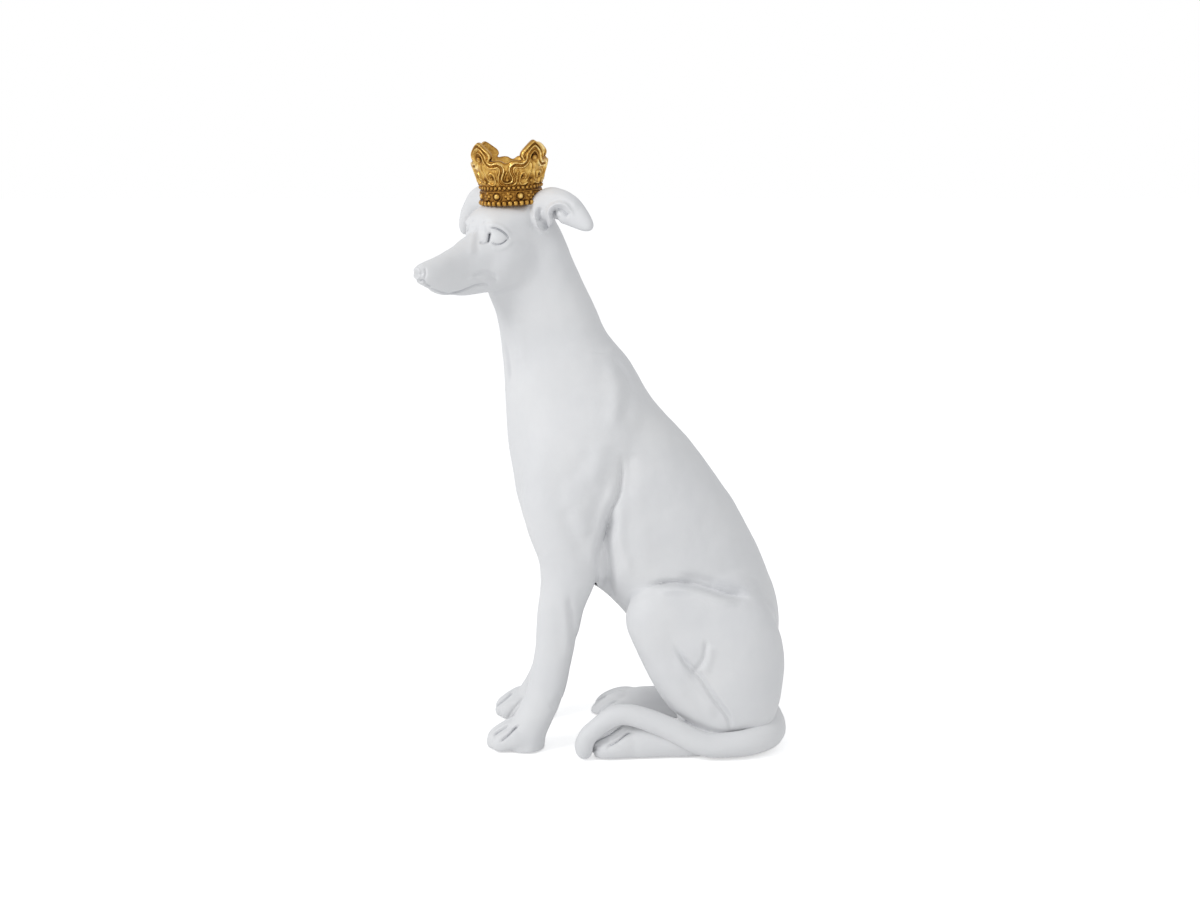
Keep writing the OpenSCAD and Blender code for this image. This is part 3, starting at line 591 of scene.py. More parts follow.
def head_field(points):
    """The skull, muzzle and ears, both sides as one."""
    local = to_head(points)
    on_left = local[:, 1] > 0
    local[:, 1] = np.abs(local[:, 1])
    forward, out, up = local.T
    head = skull_form.field(forward, up, out)
    for form, fillet in ((cheek_form, 7.0), (brow_form, 4.0), (chin_form, 3.0), (nose_form, 1.6)):
        head = join(head, form.field(local), fillet)
    head = join(head, seat_field(forward, out, up), 5.0)
    ear = np.where(on_left, left_ear_form.field(local), right_ear_form.field(local))
    head = join(head, ear, 3.0)
    flat = seen(from_head(local))
    head = head + line_relief(flat, out, HEAD_LINES) + dent_relief(flat, out, HEAD_DENTS)
    facing = smoothstep(forward + EAR_BACK_SLOPE * (out - EAR_BACK_OUT), EAR_BACK_AT - 2, EAR_BACK_AT + 2)
    facing *= np.where(on_left, 1.0, 1.0 - smoothstep(out, 19, 26))
    return head + facing * (line_relief(flat, out, EAR_LINES) + dent_relief(flat, out, EAR_DENTS))


def figure_field(points):
    """The whole resin figure but its tail: distance in millimetres, negative inside."""
    body = body_field(points)
    low = HEAD_AT - 88
    high = HEAD_AT + 88
    near = ((points > low) & (points < high)).all(axis=1)
    if near.any():
        body[near] = join(body[near], head_field(points[near]), 6.0)
    return keep_in(body + hand_marks(points), PAD_T - points[:, 2], 0.8)


# The crown, in millimetres and degrees in its own frame: its axis up, its base at zero
CROWN_AT = np.array([-57.9, 0.8, 336.6])
CROWN_LEAN = 2.6                # towards the front of the photograph's view
FIRST_LEAF = -92.0
LEAF_STEP = 90.0
BAND_R = 18.0
BAND_H = 10.5
WALL_T = 2.2
FLOOR_H = 8.6                   # the pin between crown and head ends below it
FLAT_STEP = 36.0                # length of one leaf step where the wall is laid out flat
BAND_STEP = 45.0
# Outer radius of the wall at each height
CROWN_WALL = [(0, 18), (10.5, 18.2), (13, 18.5), (16.5, 19.4), (22, 21.2), (27, 22.6), (31, 23.2), (35, 23.5),
              (40, 23.8)]
# Half of one leaf and the rim beside it, laid out flat: along from the leaf's middle, and height
CROWN_EDGE = [(-1, 38.9), (0, 38.6), (2.2, 37.4), (5.2, 35), (8.0, 32.4), (9.0, 30.2), (8.8, 28.6), (7.9, 27.6),
              (8.8, 26.9), (11, 27.1), (13, 27.2), (15, 26.8), (16.6, 25.8), (18, 25.4), (19, 25.4)]
# Raised lines: height, half width and points laid out flat in the same way
CROWN_RIBS = [
    (1.3, 0.85, [(0, 37.6), (2.0, 36.4), (4.8, 34.0), (7.2, 31.6), (8.0, 29.6), (7.4, 28), (6.6, 27)]),
    (1.5, 0.8, [(0, 35.2), (2.0, 34.0), (3.8, 32.0), (5.0, 30), (5.4, 27.8), (6.6, 25.8), (8.6, 25.0), (11, 25.4),
                (13, 25.4), (15, 24.2), (16.1, 22.6), (16.2, 20.8), (15.4, 18.8), (14.4, 16.8), (14.6, 14.9),
                (16, 13.9), (18, 13.6)]),
    (1.2, 0.7, [(0, 32.2), (1.6, 31.2), (2.8, 29.4), (3.2, 27.0), (4.6, 24.6), (7.2, 22.8), (10, 22.8), (12.4, 23.2),
                (13.6, 22), (13.4, 20.2), (12.4, 17.8), (11.6, 15.4), (12.4, 13.2), (14.4, 12.2)]),
    (1.2, 0.8, [(5.4, 16.4), (5.0, 18.2), (6.4, 19.6), (8.2, 18.8), (9.2, 16.4), (9.2, 14), (8.0, 12.6), (5.4, 12.6),
                (3.4, 13.6)]),
    (0.9, 0.7, [(1.6, 24.6), (1.2, 21.5), (2.2, 18.4), (3.4, 15.2)]),
    (0.9, 0.7, [(10.4, 20.4), (11.2, 18.4), (10.9, 16.4)]),
    (0.9, 0.65, [(18, 20.2), (17.2, 18.8), (17.4, 17.4), (18, 17.0)]),
]
# Raised knobs on the wall: along, height, radius and how far out their middle lies
CROWN_KNOBS = [(0, 28.2, 1.7, 0.3), (0, 14.6, 1.3, 0.2), (18, 15.6, 1.3, 0.3), (6.9, 16.6, 0.9, 0.2)]
# Rows of beads round the band: count, height, radius of the row, radius of a bead
CROWN_BEADS = [(34, 1.5, 18.3, 1.65), (42, 10.7, 18.4, 1.15)]
CROWN_TOP = 38.6
LEAF_NECK_H = 27.0
LEAF_RISES = (0.0, -3.6, -1.7, -0.4)   # how much taller each leaf is than the drawn one, in turn round the crown
STUD_H = 5.7
STUD_R = 2.0
STUD_RING_R = 2.9
PETAL_R = 1.2
PETAL_OUT = 1.5


def crown_way(points, back=False):
    """Turns directions from the crown's own frame into the row's, or back."""
    turn = math.radians(HEAD_TURN)
    lean = math.radians(-CROWN_LEAN)
    spin = np.array([[math.cos(turn), -math.sin(turn), 0], [math.sin(turn), math.cos(turn), 0], [0, 0, 1]])
    tip = np.array([[math.cos(lean), 0, math.sin(lean)], [0, 1, 0], [-math.sin(lean), 0, math.cos(lean)]])
    matrix = tip @ spin
    return points @ (matrix if back else matrix.T)


def polyline_gap(x, y, route):
    """Distance from each point of a flat layout to a line of short pieces."""
    best = np.full(len(x), 1e9)
    for a, b in zip(route[:-1], route[1:]):
        way = b - a
        share = np.clip(((x - a[0]) * way[0] + (y - a[1]) * way[1]) / (way @ way), 0, 1)
        best = np.minimum(best, (x - a[0] - share * way[0]) ** 2 + (y - a[1] - share * way[1]) ** 2)
    return np.sqrt(best)


def under(x, y, route):
    """Whether points of the flat layout lie below a line that may overhang."""
    crossings = np.zeros(len(x), int)
    for a, b in zip(route[:-1], route[1:]):
        between = (x >= min(a[0], b[0])) & (x < max(a[0], b[0]))
        level = a[1] + (x - a[0]) * (b[1] - a[1]) / (b[0] - a[0] if b[0] != a[0] else 1.0)
        crossings += between & (level > y)
    return crossings % 2 == 1


def fold(angle, step):
    """The angle from the nearest multiple of step, without its sign."""
    return np.abs((angle + step / 2) % step - step / 2)


edge_route = curve_through([p + (0,) for p in CROWN_EDGE], 3)[:, :2]
rib_routes = [(height, width, curve_through([p + (0,) for p in line], 3)[:, :2]) for height, width, line in CROWN_RIBS]
wall_table = np.array(CROWN_WALL, float)
wall_at = np.arange(0, 41, TABLE_STEP)
wall_r = rounded(np.interp(wall_at, wall_table[:, 0], wall_table[:, 1]), 3)


def crown_relief(along, height):
    """How far the ornament of the wall stands out."""
    relief = np.zeros(len(along))
    for rib_height, width, route in rib_routes:
        gap = polyline_gap(along, height, route)
        relief = np.maximum(relief, rib_height * np.exp(-(gap / width) ** 2))
    return relief


def crown_field(points):
    local = crown_way(points - CROWN_AT, back=True)
    radius = np.hypot(local[:, 0], local[:, 1])
    angle = np.degrees(np.arctan2(local[:, 1], local[:, 0])) - FIRST_LEAF
    height = local[:, 2]
    along = fold(angle, LEAF_STEP) / LEAF_STEP * FLAT_STEP
    outer = np.interp(height, wall_at, wall_r)
    leaf = np.round(angle / LEAF_STEP).astype(int) % len(LEAF_RISES)
    above = smoothstep(height, LEAF_NECK_H, CROWN_TOP)
    height = height - above * np.array(LEAF_RISES)[leaf]
    near = (np.abs(radius - outer) < 3 * WALL_T) & (height > 9)
    edge = height - 24.0
    edge_gap = polyline_gap(along[near], height[near], edge_route)
    edge[near] = np.where(under(along[near], height[near], edge_route), -edge_gap, edge_gap)
    stand_out = np.zeros(len(radius))
    stand_out[near] = crown_relief(along[near], height[near]) * smoothstep(height[near], 10.6, 12.4)
    wall = np.maximum(radius - outer - stand_out, outer - WALL_T - radius)
    crown = keep_in(wall, edge, 0.7)
    crown = keep_in(crown, -height, 0.5)
    floor = np.maximum(np.maximum(radius - BAND_R + 0.5, height - FLOOR_H), 0.3 - height)
    crown = join(crown, floor, 0.6)
    for knob_along, knob_height, knob_r, out in CROWN_KNOBS:
        knob = np.sqrt((along - knob_along) ** 2 + (height - knob_height) ** 2 + (radius - outer - out) ** 2) - knob_r
        crown = join(crown, knob, 0.5)
    for count, row_height, row_r, bead_r in CROWN_BEADS:
        turn = np.radians(fold(angle, 360 / count))
        bead = np.sqrt((radius * np.cos(turn) - row_r) ** 2 + (radius * np.sin(turn)) ** 2 + (height - row_height) ** 2)
        crown = join(crown, bead - bead_r, 0.35)
    groove = np.hypot(radius - BAND_R - 0.2, height - 8.4) - 0.55
    crown = join(crown, groove, 0.4)
    from_stud = fold(angle - BAND_STEP / 2, BAND_STEP)
    turn = np.radians(from_stud)
    stud_gap = np.hypot(radius * np.sin(turn), height - STUD_H)
    stud_out = radius * np.cos(turn) - BAND_R
    stud = np.sqrt(stud_gap ** 2 + (stud_out * 1.2) ** 2) - STUD_R
    ring = np.hypot(stud_gap - STUD_RING_R, stud_out - 0.1) - 0.45
    crown = join(join(crown, stud, 0.4), ring, 0.4)
    turn = np.radians(BAND_STEP / 2 - from_stud)
    side = np.abs(radius * np.sin(turn))
    rise = np.abs(height - STUD_H)
    out = radius * np.cos(turn) - BAND_R
    flower = np.hypot(np.hypot(np.maximum(side, rise) - PETAL_OUT, np.minimum(side, rise)), out) - PETAL_R
    heart = np.sqrt(side ** 2 + rise ** 2 + (out - 0.3) ** 2) - 0.8
    return join(join(crown, flower, 0.4), heart, 0.3)


TAIL_SINK = 1.5                 # how far the tail reaches into what it lies on


def tail_field(points):
    tail = tail_form.field(points) + hand_marks(points)
    body = figure_field(points)
    tail = np.maximum(tail, -body - TAIL_SINK)
    return keep_in(tail, PAD_T - points[:, 2], 0.8)


def slope_of(field, points, step):
    """The field and its gradient at each point, from four neighbours that stand round it like a tripod's feet."""
    value = np.zeros(len(points))
    slope = np.zeros((len(points), 3))
    for way in ((1, -1, -1), (-1, -1, 1), (-1, 1, -1), (1, 1, 1)):
        sample = field(points + step * np.array(way))
        value += sample / 4
        slope += sample[:, None] * np.array(way) / (4 * step)
    return value, slope


def grid_of(field, low, high, voxel):
    """Samples of the field on a grid, worked out finely only in the blocks that its surface crosses."""
    size = BLOCK * voxel
    counts = np.ceil((np.array(high) - low) / size).astype(int)
    corner = np.array(low, float)
    blocks = np.stack(np.meshgrid(*[np.arange(c) for c in counts], indexing="ij"), axis=-1).reshape(-1, 3)
    centres = corner + (blocks + 0.5) * size
    rough = np.concatenate([field(part) for part in np.array_split(centres, len(centres) // 200000 + 1)])
    samples = np.repeat(np.repeat(np.repeat(rough.reshape(counts), BLOCK, 0), BLOCK, 1), BLOCK, 2)
    samples = np.where(samples > 0, 3 * voxel, -3 * voxel)
    cells = np.stack(np.meshgrid(*[np.arange(BLOCK)] * 3, indexing="ij"), axis=-1).reshape(-1, 3)
    crossed = blocks[np.abs(rough) < 1.6 * size]
    for part in np.array_split(crossed, len(crossed) // 6000 + 1):
        index = (part[:, None, :] * BLOCK + cells[None, :, :]).reshape(-1, 3)
        values = field(corner + (index + 0.5) * voxel)
        samples[index[:, 0], index[:, 1], index[:, 2]] = np.clip(values, -3 * voxel, 3 * voxel)
    return samples.astype(np.float32), corner


def surface_of(field, low, high, voxel):
    """Vertices and faces of the field's surface."""
    samples, corner = grid_of(field, low, high, voxel)
    grid = openvdb.FloatGrid(3 * voxel)
    grid.copyFromArray(samples)
    points, quads = grid.convertToQuads(isovalue=0)
    points = corner + (points.astype(float) + 0.5) * voxel
    moved = []
    for part in np.array_split(points, len(points) // 100000 + 1):
        value, slope = slope_of(field, part, 0.3 * voxel)
        slope /= np.maximum((slope ** 2).sum(axis=1), 0.1)[:, None]
        for _ in range(2):
            part = part - slope * np.clip(value, -0.6 * voxel, 0.6 * voxel)[:, None]
            value = field(part)
        moved.append(part)
    points = np.concatenate(moved)
    a, b, c = points[quads[:, 0]], points[quads[:, 1]], points[quads[:, 2]]
    volume = (a * np.cross(b, c)).sum()
    if volume < 0:
        quads = quads[:, ::-1]
    return points, quads


def new_mesh(name, points, faces):
    mesh = bpy.data.meshes.new(name)
    mesh.vertices.add(len(points))
    mesh.vertices.foreach_set("co", (points * MM).astype(np.float32).ravel())
    mesh.loops.add(faces.size)
    mesh.loops.foreach_set("vertex_index", faces.astype(np.int32).ravel())
    mesh.polygons.add(len(faces))
    mesh.polygons.foreach_set("loop_start", np.arange(0, faces.size, faces.shape[1], dtype=np.int32))
    mesh.update(calc_edges=True)
    return mesh


def side_of(points, plane):
    """How far the points lie beyond a plane, given as a point and a direction."""
    at, way = plane
    return (points - np.array(at)) @ np.array(way)


def cut_out(mesh, cuts, wanted):
    """Cuts the mesh along the planes, keeps the faces that wanted() picks by their middles and closes the holes."""
    work = bmesh.new()
    work.from_mesh(mesh)
    for at, way in cuts:
        everything = work.verts[:] + work.edges[:] + work.faces[:]
        bmesh.ops.bisect_plane(work, geom=everything, dist=1e-7, plane_co=Vector(np.array(at) * MM), plane_no=Vector(way))
    work.faces.ensure_lookup_table()
    middles = np.array([face.calc_center_median() for face in work.faces]) / MM
    keep = wanted(middles)
    gone = [face for face, kept in zip(work.faces, keep) if not kept]
    bmesh.ops.delete(work, geom=gone, context="FACES")
    skin = work.faces.layers.int.new("skin")
    for face in work.faces:
        face[skin] = 1
        face.smooth = True
    rims = [edge for edge in work.edges if edge.is_boundary]
    if rims:
        caps = bmesh.ops.holes_fill(work, edges=rims, sides=0)["faces"]
        bmesh.ops.triangulate(work, faces=caps)
    work.to_mesh(mesh)
    work.free()


def shade_by(mesh, field, step, reaches):
    """Normals of the skin from the field, so that no seam shows between two pieces; the hidden caps stay flat.

    The relief attribute is below zero in hollows and above it on ridges, as felt at the given reaches. The materials
    use it for painted shade in the hollows and, on the crown, a painted highlight on the ridges.
    """
    count = len(mesh.vertices)
    places = np.empty(count * 3, np.float32)
    mesh.vertices.foreach_get("co", places)
    places = places.reshape(-1, 3).astype(float) / MM
    parts = np.array_split(places, count // 100000 + 1)
    slope = np.concatenate([slope_of(field, part, step)[1] for part in parts])
    slope /= np.maximum(np.linalg.norm(slope, axis=1), 1e-9)[:, None]
    corners = np.empty(len(mesh.loops), np.int32)
    mesh.loops.foreach_get("vertex_index", corners)
    totals = np.empty(len(mesh.polygons), np.int32)
    mesh.polygons.foreach_get("loop_total", totals)
    flat = np.empty(len(mesh.polygons) * 3, np.float32)
    mesh.polygons.foreach_get("normal", flat)
    skin = np.empty(len(mesh.polygons), np.int32)
    mesh.attributes["skin"].data.foreach_get("value", skin)
    on_skin = np.repeat(skin, totals)[:, None] == 1
    normals = np.where(on_skin, slope[corners], np.repeat(flat.reshape(-1, 3), totals, axis=0))
    mesh.attributes.remove(mesh.attributes["skin"])
    mesh.normals_split_custom_set(normals.tolist())
    stand = np.zeros(count)
    for reach in reaches:
        parts = np.array_split(places + slope * reach, count // 100000 + 1)
        stand += (np.concatenate([field(part) for part in parts]) / reach - 1) / len(reaches)
    relief = mesh.attributes.new("relief", "FLOAT", "POINT")
    relief.data.foreach_set("value", np.clip(stand, -1, 1).astype(np.float32))


def resin_piece(name, field, low, high, voxel, cuts, wanted, material, reaches=HOLLOW_REACHES):
    points, quads = surface_of(field, low, high, voxel)
    mesh = new_mesh(name, points, quads)
    cut_out(mesh, cuts, wanted)
    shade_by(mesh, field, 0.5 * voxel, reaches)
    mesh.materials.append(material)
    piece = bpy.data.objects.new(name, mesh)
    bpy.context.scene.collection.objects.link(piece)
    return piece


def finish_piece(piece, slot, *nodes):
    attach(piece, "root")
    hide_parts(*nodes)


# Materials
# Tones of the gold paint from low to high relief: the dark brown stops in recesses are brown glaze and painted shade
# together, and the brightest stop on raised parts is a painted highlight.
GILT_GLAZE_SHADE_AND_HIGHLIGHT = [
    (0.1, (0.06, 0.02, 0.003)),
    (0.3, (0.20, 0.085, 0.010)),
    (0.5, (0.37, 0.185, 0.032)),
    (0.62, (0.60, 0.37, 0.092)),
    (0.82, (1.0, 0.80, 0.36)),
]


def new_material(name):
    material = bpy.data.materials.new(name)
    material.use_nodes = True
    nodes = material.node_tree.nodes
    return material, nodes, material.node_tree.links, nodes["Principled BSDF"]


def add_noise(nodes, links, scale, detail, roughness=0.55):
    """Noise in the frame's own metres, so that its grain keeps its size on every piece."""
    place = nodes.new("ShaderNodeTexCoord")
    noise = nodes.new("ShaderNodeTexNoise")
    noise.inputs["Scale"].default_value = scale
    noise.inputs["Detail"].default_value = detail
    noise.inputs["Roughness"].default_value = roughness
    links.new(place.outputs["Object"], noise.inputs["Vector"])
    return noise


def add_ramp(nodes, links, source, stops):
    ramp = nodes.new("ShaderNodeValToRGB")
    while len(ramp.color_ramp.elements) < len(stops):
        ramp.color_ramp.elements.new(0.5)
    for element, (place, colour) in zip(ramp.color_ramp.elements, stops):
        element.position = place
        element.color = (*colour, 1)
    links.new(source, ramp.inputs["Fac"])
    return ramp


def add_bump(nodes, links, height, strength, distance, below=None):
    bump = nodes.new("ShaderNodeBump")
    bump.inputs["Strength"].default_value = strength
    bump.inputs["Distance"].default_value = distance
    links.new(height, bump.inputs["Height"])
    if below is not None:
        links.new(below.outputs["Normal"], bump.inputs["Normal"])
    return bump


def white_resin():
    """Matte white paint on cast stone resin: faint cloudiness, painted shade in hollows and creases, brushed undulation
    and a fine tooth.
    """
    material, nodes, links, shader = new_material("white_resin_paint")
    clouds = add_noise(nodes, links, 28, 3)
    ramp = add_ramp(nodes, links, clouds.outputs["Fac"], [(0.3, (0.745, 0.75, 0.765)), (0.7, (0.79, 0.792, 0.80))])
    # Painted shade: hollows and creases are greyed by the relief attribute, standing in for the shade that falls there.
    relief = nodes.new("ShaderNodeAttribute")
    relief.attribute_name = "relief"
    crease_shade_level = nodes.new("ShaderNodeMath")
    crease_shade_level.operation = "MULTIPLY_ADD"
    links.new(relief.outputs["Fac"], crease_shade_level.inputs[0])
    crease_shade_level.inputs[1].default_value = 1.0
    crease_shade_level.inputs[2].default_value = 1.0
    painted_crease_shade = add_ramp(nodes, links, crease_shade_level.outputs[0], [(0.1, (0.58, 0.59, 0.62)), (0.85, (1.0, 1.0, 1.0))])
    toned = nodes.new("ShaderNodeMixRGB")
    toned.blend_type = "MULTIPLY"
    toned.inputs[0].default_value = 1.0
    links.new(ramp.outputs["Color"], toned.inputs[1])
    links.new(painted_crease_shade.outputs["Color"], toned.inputs[2])
    links.new(toned.outputs["Color"], shader.inputs["Base Color"])
    waves = add_noise(nodes, links, 130, 2)
    tooth = add_noise(nodes, links, 1600, 2)
    soft = add_bump(nodes, links, waves.outputs["Fac"], 0.4, 0.0006)
    fine = add_bump(nodes, links, tooth.outputs["Fac"], 0.12, 0.0001, soft)
    links.new(fine.outputs["Normal"], shader.inputs["Normal"])
    gloss = add_ramp(nodes, links, clouds.outputs["Fac"], [(0.2, (0.5, 0.5, 0.5)), (0.8, (0.62, 0.62, 0.62))])
    links.new(gloss.outputs["Color"], shader.inputs["Roughness"])
    shader.inputs["Specular IOR Level"].default_value = 0.35
    return material


def antique_gold():
    """Gold paint with a brushed, uneven tone: brown glaze and painted shade in the recesses, and a painted highlight
    where it stands out.
    """
    material, nodes, links, shader = new_material("antique_gold_paint")
    relief = nodes.new("ShaderNodeAttribute")
    relief.attribute_name = "relief"
    blotch = add_noise(nodes, links, 380, 3)
    uneven = nodes.new("ShaderNodeMath")
    uneven.operation = "MULTIPLY_ADD"
    links.new(blotch.outputs["Fac"], uneven.inputs[0])
    uneven.inputs[1].default_value = 0.3
    uneven.inputs[2].default_value = 0.39
    # Painted shade and painted highlight: the tone drops in recesses and rises on raised parts, by the relief
    # attribute.
    tone = nodes.new("ShaderNodeMath")
    tone.operation = "MULTIPLY_ADD"
    links.new(relief.outputs["Fac"], tone.inputs[0])
    tone.inputs[1].default_value = 0.72
    links.new(uneven.outputs[0], tone.inputs[2])
    ramp = add_ramp(nodes, links, tone.outputs[0], GILT_GLAZE_SHADE_AND_HIGHLIGHT)
    links.new(ramp.outputs["Color"], shader.inputs["Base Color"])
    shine = add_ramp(nodes, links, tone.outputs[0], [(0.3, (0.5, 0.5, 0.5)), (0.7, (0.22, 0.22, 0.22))])
    links.new(shine.outputs["Color"], shader.inputs["Roughness"])
    shader.inputs["Metallic"].default_value = 0.85
    dabs = add_noise(nodes, links, 520, 2)
    bump = add_bump(nodes, links, dabs.outputs["Fac"], 0.5, 0.0006)
    links.new(bump.outputs["Normal"], shader.inputs["Normal"])
    return material


def plain_finish(name, low, high, scale, roughness, bump_size, metallic=0.0, across=None):
    """A finish for a simple piece: two close tones in noise, and bumps of the same grain."""
    material, nodes, links, shader = new_material(name)
    grain = add_noise(nodes, links, scale, 3)
    if across is not None:
        stretch = nodes.new("ShaderNodeMapping")
        stretch.inputs["Scale"].default_value = across
        links.new(grain.inputs["Vector"].links[0].from_socket, stretch.inputs["Vector"])
        links.new(stretch.outputs["Vector"], grain.inputs["Vector"])
    ramp = add_ramp(nodes, links, grain.outputs["Fac"], [(0.3, low), (0.7, high)])
    links.new(ramp.outputs["Color"], shader.inputs["Base Color"])
    shader.inputs["Roughness"].default_value = roughness
    shader.inputs["Metallic"].default_value = metallic
    bump = add_bump(nodes, links, grain.outputs["Fac"], 0.6, bump_size)
    links.new(bump.outputs["Normal"], shader.inputs["Normal"])
    return material


white = white_resin()
gold = antique_gold()
felt = plain_finish("felt", (0.56, 0.56, 0.54), (0.70, 0.70, 0.68), 1500, 0.95, 0.0005)
raw_resin = plain_finish("raw_resin", (0.56, 0.54, 0.50), (0.62, 0.60, 0.56), 240, 0.6, 0.0003)
steel = plain_finish("drawn_steel", (0.40, 0.40, 0.41), (0.56, 0.56, 0.57), 700, 0.3, 0.0001, 1.0, (1, 1, 0.04))
PAD_NODES = ("left_fore_pad", "right_fore_pad", "left_hind_pad", "right_hind_pad", "rump_pad")
STEEL_NODES = ("neck_pin", "crown_pin", "left_foreleg_rod", "right_foreleg_rod")
for finish, finished in ((felt, PAD_NODES), (raw_resin, ("base_plug",)), (steel, STEEL_NODES)):
    for node_name in finished:
        for material_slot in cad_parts[node_name].material_slots:
            material_slot.material = finish

neck_way = (-math.sin(math.radians(NECK_TILT)), 0.0, math.cos(math.radians(NECK_TILT)))
neck_plane = (NECK_CUT, neck_way)
ear_planes = []
for sign in (1, -1):
    way = head_way((EAR_CUT[0], sign * EAR_CUT[1], EAR_CUT[2]))
    ear_planes.append((tuple(HEAD_AT + EAR_CUT_AT * way), tuple(way)))
elbow_plane = ((0, 0, ELBOW_Z), (0, 0, 1))
leg_back_plane = ((LEG_BACK_X, 0, 0), (1, 0, 0))
ankle_plane = ((0, 0, ANKLE_Z), (0, 0, 1))
heel_plane = ((ANKLE_X, 0, 0), (1, 0, 0))
foot_planes = [((0, MIDDLE - FOOT_INNER, 0), (0, 1, 0)), ((0, MIDDLE + FOOT_INNER, 0), (0, 1, 0))]


def in_head(places):
    return side_of(places, neck_plane) > 0


def in_ear(places, sign):
    return in_head(places) & (side_of(places, ear_planes[0 if sign < 0 else 1]) > 0)


def in_foreleg(places, sign):
    low_front = (places[:, 2] < ELBOW_Z) & (places[:, 0] < LEG_BACK_X)
    return low_front & (sign * (places[:, 1] - MIDDLE) > 0)


def in_foot(places, sign):
    low_part = (places[:, 2] < ANKLE_Z) & (places[:, 0] < ANKLE_X) & (places[:, 0] > LEG_BACK_X - 30)
    return low_part & (sign * (places[:, 1] - MIDDLE) > FOOT_INNER)


def is_foot(places, sign):
    """The hind foot's toes reach under the belly, in front of the leg's back plane but behind the forefeet."""
    return in_foot(places, sign) & (places[:, 0] > -26)


def is_foreleg(places, sign):
    return in_foreleg(places, sign) & ~is_foot(places, sign)


def is_torso(places):
    other = in_head(places)
    for sign in (-1, 1):
        other |= is_foreleg(places, sign) | is_foot(places, sign)
    return ~other


SIDES = (("left", -1), ("right", 1))
leg_cuts = [elbow_plane, leg_back_plane]
foot_cuts = [ankle_plane, heel_plane] + foot_planes
middle_plane = ((0, MIDDLE, 0), (0, 1, 0))

torso = resin_piece("torso_shell", figure_field, (-84, -54, -3), (118, 62, 330), BODY_VOXEL,
                    [neck_plane] + leg_cuts + foot_cuts, is_torso, white)
finish_piece(torso, "white_resin", "torso")
head = resin_piece("head_cast", figure_field, (-126, -70, 262), (-8, 40, 342), HEAD_VOXEL,
                   [neck_plane] + ear_planes, lambda p: in_head(p) & ~in_ear(p, -1) & ~in_ear(p, 1), white)
finish_piece(head, "white_resin", "head")
for side, sign in SIDES:
    ear_low, ear_high = ((-62, -56, 306), (2, 4, 352)) if sign < 0 else ((-112, -4, 306), (-40, 62, 352))
    ear = resin_piece(side + "_ear_cast", figure_field, ear_low, ear_high, HEAD_VOXEL,
                      [neck_plane, ear_planes[0 if sign < 0 else 1]], lambda p, s=sign: in_ear(p, s), white)
    finish_piece(ear, "white_resin", side + "_ear")
    low_y, high_y = (-54, 8) if sign < 0 else (0, 62)
    foreleg = resin_piece(side + "_foreleg_cast", figure_field, (-92, low_y, -3), (0, high_y, 112), LIMB_VOXEL,
                          leg_cuts + [middle_plane], lambda p, s=sign: is_foreleg(p, s), white)
    finish_piece(foreleg, "white_resin", side + "_foreleg")
    foot = resin_piece(side + "_hind_foot_cast", figure_field, (-26, low_y, -3), (50, high_y, 32), LIMB_VOXEL,
                       foot_cuts, lambda p, s=sign: is_foot(p, s), white)
    finish_piece(foot, "white_resin", side + "_hind_foot")
tail = resin_piece("tail_cast", tail_field, (-28, -64, -3), (120, 24, 40), LIMB_VOXEL,
                   [], lambda p: np.ones(len(p), bool), white)
finish_piece(tail, "white_resin", "tail")
crown = resin_piece("crown_cast", crown_field, CROWN_AT + (-29, -28, -4), CROWN_AT + (27, 28, 42), CROWN_VOXEL,
                    [], lambda p: np.ones(len(p), bool), gold, GILT_REACHES)
finish_piece(crown, "gold_paint", "crown")


# Camera, floor and lights
def aim(thing, target):
    thing.rotation_euler = (Vector(target) - thing.location).to_track_quat("-Z", "Y").to_euler()


camera_data = bpy.data.cameras.new("camera")
camera_data.lens = LENS
camera_data.sensor_width = SENSOR
camera_data.clip_end = 20
camera = bpy.data.objects.new("camera", camera_data)
camera.location = Vector(CAMERA_AT * MM)
camera.rotation_euler = (math.radians(90 - CAMERA_DOWN), 0, 0)
bpy.context.scene.collection.objects.link(camera)
bpy.context.scene.camera = camera


def seen_straight(nodes, links):
    """One for camera, glossy and transmission rays, and zero for the rest."""
    rays = nodes.new("ShaderNodeLightPath")
    socket = rays.outputs["Is Camera Ray"]
    for name in ("Is Glossy Ray", "Is Transmission Ray"):
        either = nodes.new("ShaderNodeMath")
        either.operation = "MAXIMUM"
        links.new(socket, either.inputs[0])
        links.new(rays.outputs[name], either.inputs[1])
        socket = either.outputs[0]
    return socket


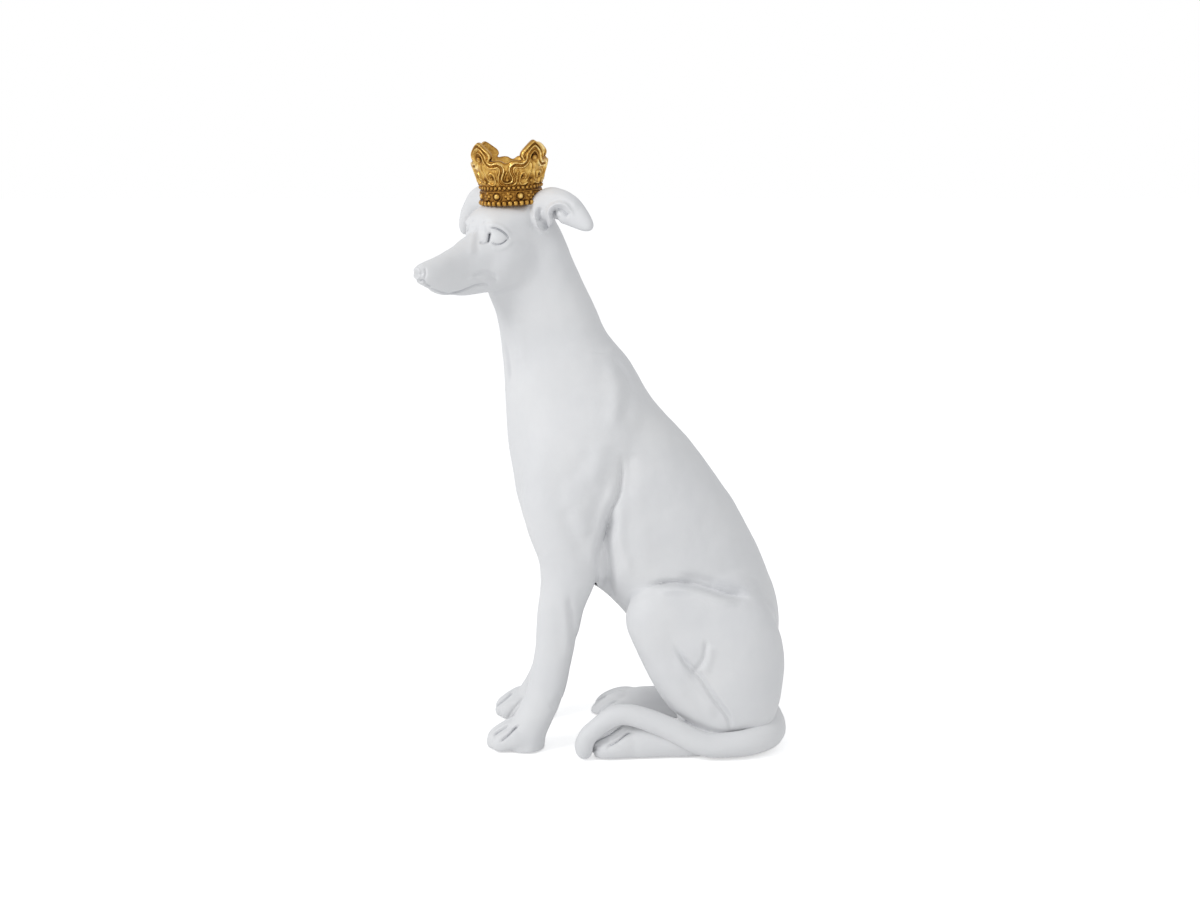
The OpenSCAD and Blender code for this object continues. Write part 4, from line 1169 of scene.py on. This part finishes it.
def light_world():
    """A dim sky that lights the figure, and plain white where it is seen or mirrored."""
    world = bpy.data.worlds.new("studio")
    bpy.context.scene.world = world
    world.use_nodes = True
    nodes, links = world.node_tree.nodes, world.node_tree.links
    sky = nodes["Background"]
    sky.inputs["Color"].default_value = (*SKY_COLOUR, 1)
    sky.inputs["Strength"].default_value = SKY_STRENGTH
    white_sky = nodes.new("ShaderNodeBackground")
    white_sky.inputs["Color"].default_value = (1, 1, 1, 1)
    white_sky.inputs["Strength"].default_value = 1.0
    mix = nodes.new("ShaderNodeMixShader")
    links.new(seen_straight(nodes, links), mix.inputs[0])
    links.new(sky.outputs[0], mix.inputs[1])
    links.new(white_sky.outputs[0], mix.inputs[2])
    links.new(mix.outputs[0], nodes["World Output"].inputs["Surface"])


def add_floor():
    """A pale floor. Where it is seen it glows enough to look white, and it keeps the figure's shadow."""
    mesh = bpy.data.meshes.new("floor")
    corners = [(-FLOOR_HALF, -FLOOR_HALF, 0), (FLOOR_HALF, -FLOOR_HALF, 0), (FLOOR_HALF, FLOOR_HALF, 0), (-FLOOR_HALF, FLOOR_HALF, 0)]
    mesh.from_pydata(corners, [], [(0, 1, 2, 3)])
    floor = bpy.data.objects.new("floor", mesh)
    bpy.context.scene.collection.objects.link(floor)
    material, nodes, links, shader = new_material("floor_paper")
    shader.inputs["Base Color"].default_value = (0.9, 0.9, 0.9, 1)
    shader.inputs["Roughness"].default_value = 0.9
    shader.inputs["Emission Color"].default_value = (1, 1, 1, 1)
    glow = nodes.new("ShaderNodeMath")
    glow.operation = "MULTIPLY"
    links.new(seen_straight(nodes, links), glow.inputs[0])
    glow.inputs[1].default_value = FLOOR_GLOW
    links.new(glow.outputs[0], shader.inputs["Emission Strength"])
    mesh.materials.append(material)


light_world()
add_floor()


def add_lamp(name, place, target, size, power):
    data = bpy.data.lights.new(name, "AREA")
    data.shape = "SQUARE"
    data.size = size
    data.energy = power
    lamp = bpy.data.objects.new(name, data)
    lamp.location = Vector(place)
    bpy.context.scene.collection.objects.link(lamp)
    aim(lamp, target)


add_lamp("key", (-1.5, -1.0, 1.3), (0, 0, 0.2), 0.8, 15.5)
add_lamp("fill", (0.9, -1.6, 0.9), (0, 0, 0.18), 1.2, 3)

bpy.context.scene.view_settings.view_transform = "Standard"
